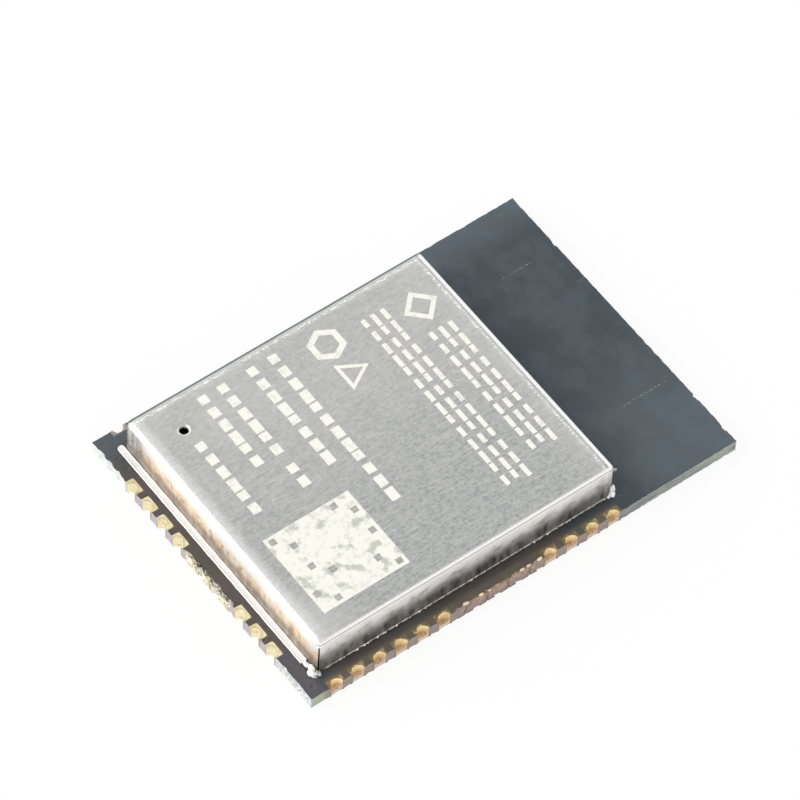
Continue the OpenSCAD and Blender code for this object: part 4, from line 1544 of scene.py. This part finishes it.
@dataclass
class Can:
    """Folded and soldered sheet-metal can.

    Its walls lean in to the top at the left, the contact end, the right and the far
    end. All sizes named drop are depths below the top.
    """

    low: Array
    high: Array
    bend: float = 0.3
    sheet: float = 0.2
    seam: float = 0.08
    seam_drop: float = 0.42
    corner_square: float = 0.6
    lean: tuple[float, float, float, float] = (0.03, 0.04, 0.04, 0.0)
    vent: Pair = (-5.75, -9.62)
    vent_radius: float = 0.24
    vent_rim: float = 0.38
    vent_half: float = 0.5
    crease_in: float = 0.26
    rim_drop: float = 0.027
    crown_in: float = 0.8
    crown_drop: float = 0.032
    land_in: float = 0.4
    line_step: float = 0.24
    wander: float = 0.003
    hollow: float = 0.008
    tab_back: float = 0.05
    tab_bow: float = 0.04
    tab_half: float = 0.15

    def inner_ring(self, gap: float) -> tuple[float, float, float, float]:
        """Lowest and highest X and Y of the mask inside the can's land."""
        inset = self.land_in + gap
        return (self.low[0] + inset, self.low[1] + inset, self.high[0] - inset, self.high[1] - inset)

    def flat_edges(self) -> tuple[float, float, float, float]:
        """Lowest and highest X and Y of the flat top, where the bends start.

        Returns:
            Lowest X, lowest Y, highest X and highest Y.
        """
        left, end, right, far = self.lean
        (x0, y0), (x1, y1) = self.low[:2] + self.bend, self.high[:2] - self.bend
        return (x0 + left, y0 + end, x1 - right, y1 - far)

    def sag(self, x: Array, y: Array) -> Array:
        """Depth of the top below its highest plane.

        Just inside the bends, apart from the contact end, the rim slopes down in a
        straight line. At the contact end it falls as a square, so that it runs
        softly into the bend. The sheet wanders by a few micrometres.

        Args:
            x: First coordinate of the points.
            y: Second coordinate of the points.

        Returns:
            Depth for each point.
        """
        x0, y0, x1, y1 = self.flat_edges()
        from_rim = np.minimum(np.minimum(x - x0, x1 - x), y1 - y)
        slope = self.rim_drop * np.clip(1 - from_rim / self.crease_in, 0, 1)
        wander = self.wander * (1 + ripple2(x, y, 4.0, 21) * 0.5)
        crown = self.crown_drop * np.clip(1 - (y - y0) / self.crown_in, 0, 1) ** 2
        return slope + crown + wander * smooth(from_rim, self.crease_in, self.crease_in + 0.6)

    def top_lines(self) -> Shape:
        """Rule the flat top, with lines close together at the creases and the vent.

        Returns:
            Lines across X and lines across Y.
        """
        x0, y0, x1, y1 = self.flat_edges()
        near_vent = np.linspace(-self.vent_half, self.vent_half, 9)
        crease = self.crease_in * np.array([0.5, 1.0])
        crown = y0 + self.crown_in * np.array([0.2, 0.4, 0.7, 1.0])
        x_marks = np.concatenate([self.vent[0] + near_vent, x0 + crease, x1 - crease])
        y_marks = np.concatenate([self.vent[1] + near_vent, y1 - crease, crown])
        return ruled(x0, x1, x_marks, self.line_step), ruled(y0, y1, y_marks, self.line_step)

    def top_skin(self, xs: Array, ys: Array) -> Skin:
        """Flat top between the bends, without the square round the vent.

        Args:
            xs: Lines across X.
            ys: Lines across Y.

        Returns:
            The top.
        """
        x, y = grid(xs, ys)
        cx, cy = (xs[1:] + xs[:-1]) / 2, (ys[1:] + ys[:-1]) / 2
        in_x = np.abs(cx - self.vent[0]) < self.vent_half
        in_y = np.abs(cy - self.vent[1]) < self.vent_half
        keep = ~(in_x[:, None] & in_y[None, :])
        front = points_of(x, y, self.high[2] - self.sag(x, y))
        back = points_of(x, y, self.high[2] - self.sheet)
        return Skin(front, back, lattice(len(xs), len(ys))[keep.ravel()])

    def vent_skin(self, xs: Array, ys: Array) -> Skin:
        """Square patch with the vent in it.

        Rings run from the square to the hole: each is a mix of the square and a
        circle, and the rim dips in a quarter round.

        Args:
            xs: Lines of the top across X.
            ys: Lines of the top across Y.

        Returns:
            The patch.
        """
        vx, vy = self.vent
        sx = xs[np.abs(xs - vx) < self.vent_half + 0.003]
        sy = ys[np.abs(ys - vy) < self.vent_half + 0.003]
        lower = np.column_stack([sx[:-1], np.full(len(sx) - 1, sy[0])])
        right = np.column_stack([np.full(len(sy) - 1, sx[-1]), sy[:-1]])
        upper = np.column_stack([sx[:0:-1], np.full(len(sx) - 1, sy[-1])])
        left = np.column_stack([np.full(len(sy) - 1, sx[0]), sy[:0:-1]])
        square = np.concatenate([lower, right, upper, left])
        turn = np.arctan2(square[:, 1] - vy, square[:, 0] - vx)
        circle = np.column_stack([np.cos(turn), np.sin(turn)])
        rim, hole = self.vent_rim, self.vent_radius
        radii = np.array([rim + 0.03, rim, rim - 0.04, rim - 0.09, hole + 0.03, hole + 0.008, hole])
        rings = np.array([vx, vy]) + circle[:, None] * radii[:, None]
        x, y = np.moveaxis(np.concatenate([square[:, None], rings], axis=1), -1, 0)
        drop = np.array([0.0, 0.0, 0.0, 0.012, 0.03, 0.045, 0.06, 0.09])
        front = points_of(x, y, self.high[2] - self.sag(x, y) - drop)
        back = points_of(x, y, self.high[2] - self.sheet)
        return Skin(front, back, lattice(len(square), len(drop), wrap=True))

    def band_skin(self, xs: Array, ys: Array) -> Skin:
        """Bends and walls, as one profile carried round the flat top.

        The profile is a quarter circle and then a line that leans out to the foot.
        At a corner it turns about the flat top's own corner, drawn out by the
        corner's squareness, and the middle of each corner is left open below the
        bend.

        Args:
            xs: Lines of the top across X.
            ys: Lines of the top across Y.

        Returns:
            The band.
        """
        x0, y0, x1, y1 = self.flat_edges()
        half = self.seam / self.bend / 2
        quarter = np.array([0.18, 0.4, np.pi / 4 - half, np.pi / 4 + half, np.pi / 2 - 0.4, np.pi / 2 - 0.18])
        sides = [
            np.column_stack([np.full(len(ys), x1), ys]),
            np.column_stack([xs[::-1], np.full(len(xs), y1)]),
            np.column_stack([np.full(len(ys), x0), ys[::-1]]),
            np.column_stack([xs, np.full(len(xs), y0)]),
        ]
        bases, headings, seam_rows, row = [], [], [], 0
        for side, line in enumerate(sides):
            facing = side * np.pi / 2
            bases += [line, np.repeat(line[-1:], len(quarter), axis=0)]
            headings += [np.full(len(line), facing), facing + quarter]
            seam_rows.append(row + len(line) + 2)
            row += len(line) + len(quarter)
        base, heading = np.concatenate(bases), np.concatenate(headings)
        round_way = np.column_stack([np.cos(heading), np.sin(heading)])
        widest = np.abs(round_way).max(axis=1, keepdims=True)
        out = round_way / widest**self.corner_square
        left, end, right, far = self.lean
        lean = round_way / widest * np.where(round_way > 0, [right, far], [left, end])
        bend = np.linspace(0, np.pi / 2, 9)
        drop = np.linspace(self.bend, self.high[2] - self.low[2], 13)[1:]
        drop[np.argmin(np.abs(drop - self.seam_drop))] = self.seam_drop
        inner = self.bend - self.sheet
        depth = np.concatenate([self.bend * (1 - np.cos(bend)), drop])
        depth_in = np.concatenate([self.sheet + inner * (1 - np.cos(bend)), drop])
        reach = np.append(np.sin(bend), np.ones(len(drop)))
        offset, offset_in = self.bend * reach, inner * reach
        foot = base + out * self.bend
        along = np.cumsum(np.hypot(*np.diff(foot, axis=0, prepend=foot[:1]).T))
        shape = (len(base), len(depth))
        wave = ripple2(np.broadcast_to(along[:, None], shape), np.broadcast_to(depth * 0.5, shape), 2.2, 31)
        hollow = self.hollow * (1 + wave) * smooth(depth, self.bend, self.bend + 0.5)
        edge_sag = self.sag(base[:, 0], base[:, 1])[:, None] * (1 - smooth(depth, 0, self.bend * 0.5))
        share = np.clip((depth - self.bend) / (depth[-1] - self.bend), 0, 1)
        faces = []
        for push, down in ((offset - hollow, depth + edge_sag), (offset_in + 0 * hollow, depth_in)):
            flat = base[:, None] + out[:, None] * push[..., None] + lean[:, None] * share[:, None]
            faces.append(points_of(flat[..., 0], flat[..., 1], self.high[2] - down))
        cell_row = np.repeat(np.arange(len(base)), len(depth) - 1)
        cell_depth = np.tile((depth[1:] + depth[:-1]) / 2, len(base))
        keep = ~(np.isin(cell_row, seam_rows) & (cell_depth > self.seam_drop))
        return Skin(faces[0], faces[1], lattice(*shape, wrap=True)[:, ::-1][keep])

    def shape(self) -> Shape:
        """Whole can, closed round its sheet.

        Returns:
            Points and quads.
        """
        lines = self.top_lines()
        parts = [self.top_skin(*lines), self.vent_skin(*lines), self.band_skin(*lines)]
        return Skin.joined(parts).welded().closed()

    def tabs_shape(self) -> Shape:
        """Tabs of sheet behind the open corners.

        Each is a plate across the corner, from the foot to just under the bend,
        that bows out by one less u squared, where u runs from -1 to 1 across it.

        Returns:
            Points and quads of the four tabs.
        """
        rows, columns = 9, 12
        x0, y0, x1, y1 = self.flat_edges()
        corner = np.array([[x1, y0], [x1, y1], [x0, y1], [x0, y0]])[:, None, None]
        out = np.sign(corner) * math.sqrt(0.5)
        across = np.stack([-out[..., 1], out[..., 0]], axis=-1)
        levels = np.linspace(self.low[2] + 0.05, self.high[2] - 0.3, columns)
        u, z = grid(np.linspace(-1, 1, rows), levels)
        faces = []
        for push in (self.tab_back, 0.0):
            bow = (push + self.tab_bow * (1 - u * u))[None, ..., None]
            flat = corner + out * bow + across * self.tab_half * u[None, ..., None]
            faces.append(points_of(flat[..., 0], flat[..., 1], z))
        return Skin(faces[0], faces[1], repeated(lattice(rows, columns), rows * columns, 4)).closed()

    def build(self, kit: Kit) -> None:
        """Make and dress the can."""
        add_piece("folded_can", self.shape(), kit["steel"], ["shield_can"])
        add_piece("corner_tabs", self.tabs_shape(), kit["browned_steel"])


# ---- Solder ----

Drop = tuple[Size, Size, float]


@dataclass
class Solder:
    """Solder that holds the can to the board, with drops as middle, half sizes and point."""

    can: Can
    foot: float
    strip: Array
    strip_stop: float = 7.2
    strip_height: float = 0.08
    fillet_out: float = 0.045
    fillet_up: float = 0.06
    sink: float = 0.01
    behind: float = 0.03
    speck_count: int = 24
    speck_half: Pair = (0.025, 0.055)
    gold_beads: tuple[Drop, ...] = (
        ((8.9, -3.6, 0.8), (0.09, 0.19, 0.11), 0.1),
        ((8.915, -2.69, 0.8), (0.07, 0.15, 0.09), 0.1),
        ((8.94, -2.23, 0.78), (0.05, 0.1, 0.06), 0.0),
        ((8.915, -0.26, 0.8), (0.07, 0.15, 0.09), 0.1),
        ((8.915, 0.15, 0.8), (0.07, 0.15, 0.09), 0.1),
        ((8.91, 0.8, 0.8), (0.08, 0.16, 0.11), 0.1),
    )

    def strip_shape(self) -> Shape:
        """Tinned strip outside the end wall.

        Across the strip its height is a root that rises steeply from each side, less
        a shallow hump in the middle, so that it is flat between two thin rims. Its
        width closes in a half round at the left end.

        Returns:
            Points and quads.
        """
        x0, y0 = self.strip[0][:2]
        y1 = self.can.low[1] + 0.01
        x = np.concatenate([np.linspace(x0, x0 + 0.25, 9), np.linspace(x0 + 0.35, self.strip_stop, 110)])
        left = round_off(np.clip((x0 + 0.2 - x) / 0.2, 0, 1), 0.0004)
        right = round_off(np.clip((x - self.strip_stop + 0.03) / 0.03, 0, 1), 0.0004)
        wide = (y1 - y0) / 2 * left * right * (1 + 0.02 * ripple(x, 0.8, 41) - 0.02)
        tall = self.strip_height * np.sqrt(left * right) * (0.9 + 0.07 * ripple(x, 1.4, 42))
        side = np.array([0.2, 0.55, 0.68, 0.8, 0.9, 0.97, 1])
        across = np.concatenate([-side[::-1], side])
        rise = (1 - across**2) ** 0.2 - 0.42 * (1 - smooth(np.abs(across), 0.5, 0.82))
        y = (y0 + y1) / 2 + wide[:, None] * across
        z = self.foot + tall[:, None] * rise + 0.003 * ripple2(x[:, None] + 0 * y, y, 0.5, 43) * rise
        back = points_of(x[:, None], y, self.foot - self.sink)
        return Skin(points_of(x[:, None], y, z), back, lattice(len(x), len(across))).closed()

    def fillet_skin(self, start: Pair, along: Pair, length: float, seed: int) -> Skin:
        """Uneven fillet along one wall.

        Its section is a hollow quarter round: out falls as one less sine, and up
        as one less cosine, so it meets both faces at a slope.

        Args:
            start: Place on the wall's outer face where it begins.
            along: Direction, with the board's edge on its right.
            length: Length of the fillet.
            seed: Picks its unevenness.

        Returns:
            The fillet.
        """
        s = np.linspace(0, length, max(20, int(length / 0.11)))
        turn = np.linspace(0, np.pi / 2, 6)
        lumps = 0.75 + 0.45 * ripple(s, 0.45, seed) + 0.3 * ripple(s, 0.16, seed + 1)
        ends = np.sqrt(np.clip(np.minimum(s, length - s) / 0.3, 0.01, 1))
        scale = (np.clip(lumps, 0.15, 1.9) * ends)[:, None]
        out = self.fillet_out * np.clip(scale, 0, 1.1) * (1 - np.sin(turn)) + 0.012
        up = self.fillet_up * scale * (1 - np.cos(turn)) + 0.008
        faces = []
        for away, height in ((out, up), (-self.behind, 0.9 * up - self.sink)):
            x = start[0] + s[:, None] * along[0] + away * along[1]
            y = start[1] + s[:, None] * along[1] - away * along[0]
            faces.append(points_of(x, y, self.foot + height))
        return Skin(faces[0], faces[1], lattice(len(s), len(turn)))

    def blob_skin(self, centre: Size, size: Size, point: float, seed: int) -> Skin:
        """Set drop of solder.

        A sphere stretched to three half sizes, drawn in towards its top by the
        point's share, with its radius rippled.

        Args:
            centre: Middle of the drop.
            size: Half size along each axis.
            point: Share by which the top is narrower, from 0 to 1.
            seed: Picks its ripple.

        Returns:
            The drop, with its own points behind it.
        """
        rows, columns = 18, 11
        turns = np.linspace(0, 2 * np.pi, rows, endpoint=False)
        turn, tip = grid(turns, np.linspace(0, np.pi, columns))
        ring = np.sin(tip) * (1 - point * (1 + np.cos(tip)) / 2)
        way = np.cos(turn) * np.sin(tip), np.sin(turn) * np.sin(tip) + np.cos(tip)
        swell = 1 + 0.1 * ripple2(*way, 1.4, seed)
        unit = np.stack([ring * np.cos(turn), ring * np.sin(turn), np.cos(tip)], axis=-1) * swell[..., None]
        front = (np.array(centre) + unit * np.array(size)).reshape(-1, 3)
        return Skin(front, front, lattice(rows, columns, wrap=True)[:, ::-1])

    def drops_shape(self, drops: Sequence[Drop], seed: int) -> Shape:
        """Several drops, each closed at its poles."""
        return Skin.joined([self.blob_skin(*drop, seed + i) for i, drop in enumerate(drops)]).alone()

    def bead_shape(self, centre: Size, radius: float, tube: float) -> Shape:
        """Curl of set resin: a ring whose tube swells and thins round it.

        Args:
            centre: Middle of the ring.
            radius: Radius of the ring.
            tube: Radius of the tube.

        Returns:
            Points and quads.
        """
        rows, columns = 28, 12
        turns = np.linspace(0, 2 * np.pi, rows, endpoint=False)
        turn, around = grid(turns, np.linspace(0, 2 * np.pi, columns))
        thick = tube * (1 + 0.35 * np.sin(turn * 2 + 0.6))
        flat = radius + thick * np.cos(around)
        x = centre[0] + 0.55 * flat * np.cos(turn)
        y = centre[1] + 0.55 * flat * np.cos(turn) + thick * np.sin(around) * 0.7
        front = points_of(x, y, centre[2] + flat * np.sin(turn) * 0.9)
        return Skin(front, front, lattice(rows, columns, wrap=True)[:, ::-1]).alone()

    def build(self, kit: Kit) -> None:
        """Make and dress the solder and the resin.

        Args:
            kit: Materials by name.
        """
        low, high, bend, z = self.can.low, self.can.high, self.can.bend, self.foot
        run_x, run_y = high[0] - low[0] - 2 * bend, high[1] - low[1] - 2 * bend
        node = ["shield_solder"]
        add_piece("solder_strip", self.strip_shape(), kit["solder"], node)
        fillets = Skin.joined([
            self.fillet_skin((high[0], low[1] + bend), (0, 1), run_y, 51),
            self.fillet_skin((high[0] - bend, high[1]), (-1, 0), run_x, 53),
            self.fillet_skin((low[0], high[1] - bend), (0, -1), run_y, 55),
        ])
        add_piece("solder_fillets", fillets.closed(), kit["tin"], node)
        drops = [
            ((7.95, 5.91, z + 0.36), (0.17, 0.16, 0.4), 0.35),
            ((7.99, 5.85, z + 0.13), (0.21, 0.17, 0.15), 0.1),
            ((8.02, 5.64, z + 0.05), (0.09, 0.1, 0.08), 0.1),
            ((7.64, -11.74, z + 0.11), (0.23, 0.15, 0.17), 0.2),
            ((7.86, -11.93, z + 0.1), (0.25, 0.19, 0.15), 0.1),
            ((7.32, -11.8, z + 0.04), (0.2, 0.15, 0.07), 0.1),
        ]
        add_piece("solder_drops", self.drops_shape(drops, 61), kit["solder"], node)
        lump = [
            ((8.06, -11.7, z + 0.1), (0.2, 0.2, 0.15), 0.1),
            ((7.85, -11.78, z + 0.03), (0.34, 0.25, 0.08), 0.0),
        ]
        add_piece("solder_lump", self.drops_shape(lump, 71), kit["tin"], node)
        rng = np.random.default_rng(73)
        along = rng.uniform(low[1] + 1, high[1] - 0.3, self.speck_count)
        size = rng.uniform(*self.speck_half, self.speck_count)
        specks = [((high[0] + 0.05, y, z + 0.02), (r, 1.3 * r, r), 0.1) for y, r in zip(along, size)]
        add_piece("solder_specks", self.drops_shape(specks, 81), kit["solder"], node)
        add_piece("resin_bead", self.bead_shape((7.97, 5.9, 2.9), 0.1, 0.035), kit["resin"])
        add_piece("gold_beads", self.drops_shape(self.gold_beads, 91), kit["pale_bead"])


# ---- Carried-over nodes ----

NODE_FINISH = {
    "gold": ("ground_pad", "crystal_pads", "component_lands"),
    "copper": ("filled_vias", "antenna_trace"),
    "stained_tin": ("shield_land",),
    "marking": ("can_marking",),
    "mould": ("processor_body", "flash_body"),
    "tin": (
        "processor_leads", "flash_leads", "capacitor_terminals", "resistor_terminals", "inductor_terminals"
    ),
    "ceramic": ("crystal_base",),
    "lid": ("crystal_lid",),
    "capacitor": ("capacitor_bodies",),
    "resistor": ("resistor_bodies",),
    "inductor": ("inductor_bodies",),
}


def dress_nodes(kit: Kit) -> None:
    """Give each node that stays in view its material, through its own slots.

    Args:
        kit: Materials by name.
    """
    for finish, nodes in NODE_FINISH.items():
        for node in nodes:
            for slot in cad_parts[node].material_slots:
                slot.material = kit[finish]
            log.info("%s: %s", node, kit[finish].name)


# ---- Studio ----


def bearing(azimuth: float, elevation: float) -> Vector:
    """Turn two angles into a direction from the object.

    Args:
        azimuth: Angle round it in degrees, where 0 is -Y and 90 is +X.
        elevation: Angle above the floor in degrees.

    Returns:
        The direction.
    """
    a, e = math.radians(azimuth), math.radians(elevation)
    return Vector((math.sin(a) * math.cos(e), -math.cos(a) * math.cos(e), math.sin(e)))


@dataclass(frozen=True)
class Studio:
    """Camera, floor, lamp and surroundings."""

    azimuth: float = 50.963
    elevation: float = 55.038
    roll: float = 3.014
    distance: float = 303.034
    target: Size = (-2.0683, 0.6152, 1.38)
    lens: float = 281.25
    sensor: float = 36.0
    clip: Pair = (0.01, 20.0)
    floor_half: float = 1500.0
    floor_drop: float = 0.002
    shadow_share: float = 0.1
    tent_low: float = 1.2
    tent_high: float = 0.6
    tent_foot: float = 0.15
    paper: float = 0.9
    window_at: Pair = (-28.0, 28.0)
    window_away: float = 600.0
    window_side: float = 620.0
    window_light: float = 2.4

    def camera(self) -> None:
        """Place the camera by its angles round the target and its roll."""
        a, roll = math.radians(self.azimuth), math.radians(self.roll)
        back = bearing(self.azimuth, self.elevation)
        level = Vector((math.cos(a), math.sin(a), 0))
        right = level * math.cos(roll) + back.cross(level) * math.sin(roll)
        data = bpy.data.cameras.new("camera")
        data.sensor_width = self.sensor
        data.lens = self.lens
        data.clip_start, data.clip_end = self.clip
        camera = put("camera", data)
        turned = Matrix((right, back.cross(right), back)).transposed().to_4x4()
        turned.translation = (Vector(self.target) + back * self.distance) * MM
        camera.matrix_world = turned
        bpy.context.scene.camera = camera

    def window(self) -> None:
        """Hang a square soft lamp that faces the object, some times as bright as full white."""
        back = bearing(*self.window_at)
        data = bpy.data.lights.new("window", "AREA")
        data.size = self.window_side * MM
        data.energy = self.window_light * math.pi * data.size**2
        lamp = put("window", data)
        lamp.rotation_euler = back.to_track_quat("Z", "Y").to_euler()
        lamp.location = back * self.window_away * MM

    def floor(self) -> None:
        """Lay a pale floor that looks white, also in reflections, and keeps a soft shadow."""
        sides = np.array([-self.floor_half, self.floor_half])
        x, y = grid(sides, sides)
        mesh = mesh_from("floor", points_of(x, y, -self.floor_drop), lattice(2, 2))
        material = bpy.data.materials.new("paper_sweep_matt")
        tree = Sketch.start(material).tree
        path = add(tree, "ShaderNodeLightPath").outputs
        seen = add(tree, MATH, SUM, {0: path["Is Camera Ray"], 1: path["Is Glossy Ray"]})
        seen = add(tree, MATH, SUM, {0: seen, 1: path["Is Transmission Ray"]})
        share = add(tree, MATH, TIMES, {0: seen, 1: 1 - self.shadow_share})
        paper = add(tree, "ShaderNodeBsdfDiffuse", None, {"Color": (*[self.paper] * 3, 1)})
        white = add(tree, "ShaderNodeEmission", None, {"Color": (1, 1, 1, 1), "Strength": 1.0})
        mixed = add(tree, "ShaderNodeMixShader", None, {0: share, 1: paper, 2: white})
        add(tree, "ShaderNodeOutputMaterial", None, {"Surface": mixed})
        mesh.materials.append(material)
        floor = put("floor", mesh)

    def surroundings(self) -> None:
        """Surround the object with a white tent: a thin dark gap at the floor, greyer above."""
        world = bpy.data.worlds.new("tent")
        bpy.context.scene.world = world
        sketch = Sketch.start(world, "Generated")
        tree, way = sketch.tree, sketch.axes.outputs
        low, high = self.tent_low, self.tent_high / self.tent_low
        gap = {"Value": way[Z], "From Min": 0.02, "From Max": 0.12, "To Min": self.tent_foot, "To Max": low}
        front = {"Value": way[Y], "From Min": -0.4, "From Max": -0.7, "To Max": low}
        roof = {"Value": way[Z], "From Min": 0.45, "From Max": 0.8, "To Min": 1.0, "To Max": high}
        bright = {0: add(tree, RANGE, SOFT, gap), 1: add(tree, RANGE, SOFT, front)}
        level = {0: add(tree, MATH, GREATER, bright), 1: add(tree, RANGE, SOFT, roof)}
        seen = add(tree, "ShaderNodeLightPath").outputs["Is Camera Ray"]
        colours = {0: seen, 6: add(tree, MATH, TIMES, level), 7: (1, 1, 1, 1)}
        mixed = add(tree, MIX, RGBA, colours).outputs[2]
        sky = add(tree, "ShaderNodeBackground", None, {"Color": mixed, "Strength": 1.0})
        add(tree, "ShaderNodeOutputWorld", None, {"Surface": sky})

    def build(self) -> None:
        """Set up the whole studio."""
        self.camera()
        self.floor()
        self.surroundings()
        self.window()
        bpy.context.scene.view_settings.view_transform = "Standard"


def main() -> None:
    """Build every part of the module in order."""
    logging.basicConfig(level=logging.INFO, format="%(name)s %(message)s")
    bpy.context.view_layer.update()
    kit = {name: finish.build() for name, finish in finishes().items()}
    Studio().build()
    can = Can(*node_box("shield_can"))
    land = node_box("shield_land")
    Board.from_frame().build(kit, land, can)
    can.build(kit)
    Solder(can, can.low[2], land).build(kit)
    dress_nodes(kit)


if __name__ == "__main__":
    main()
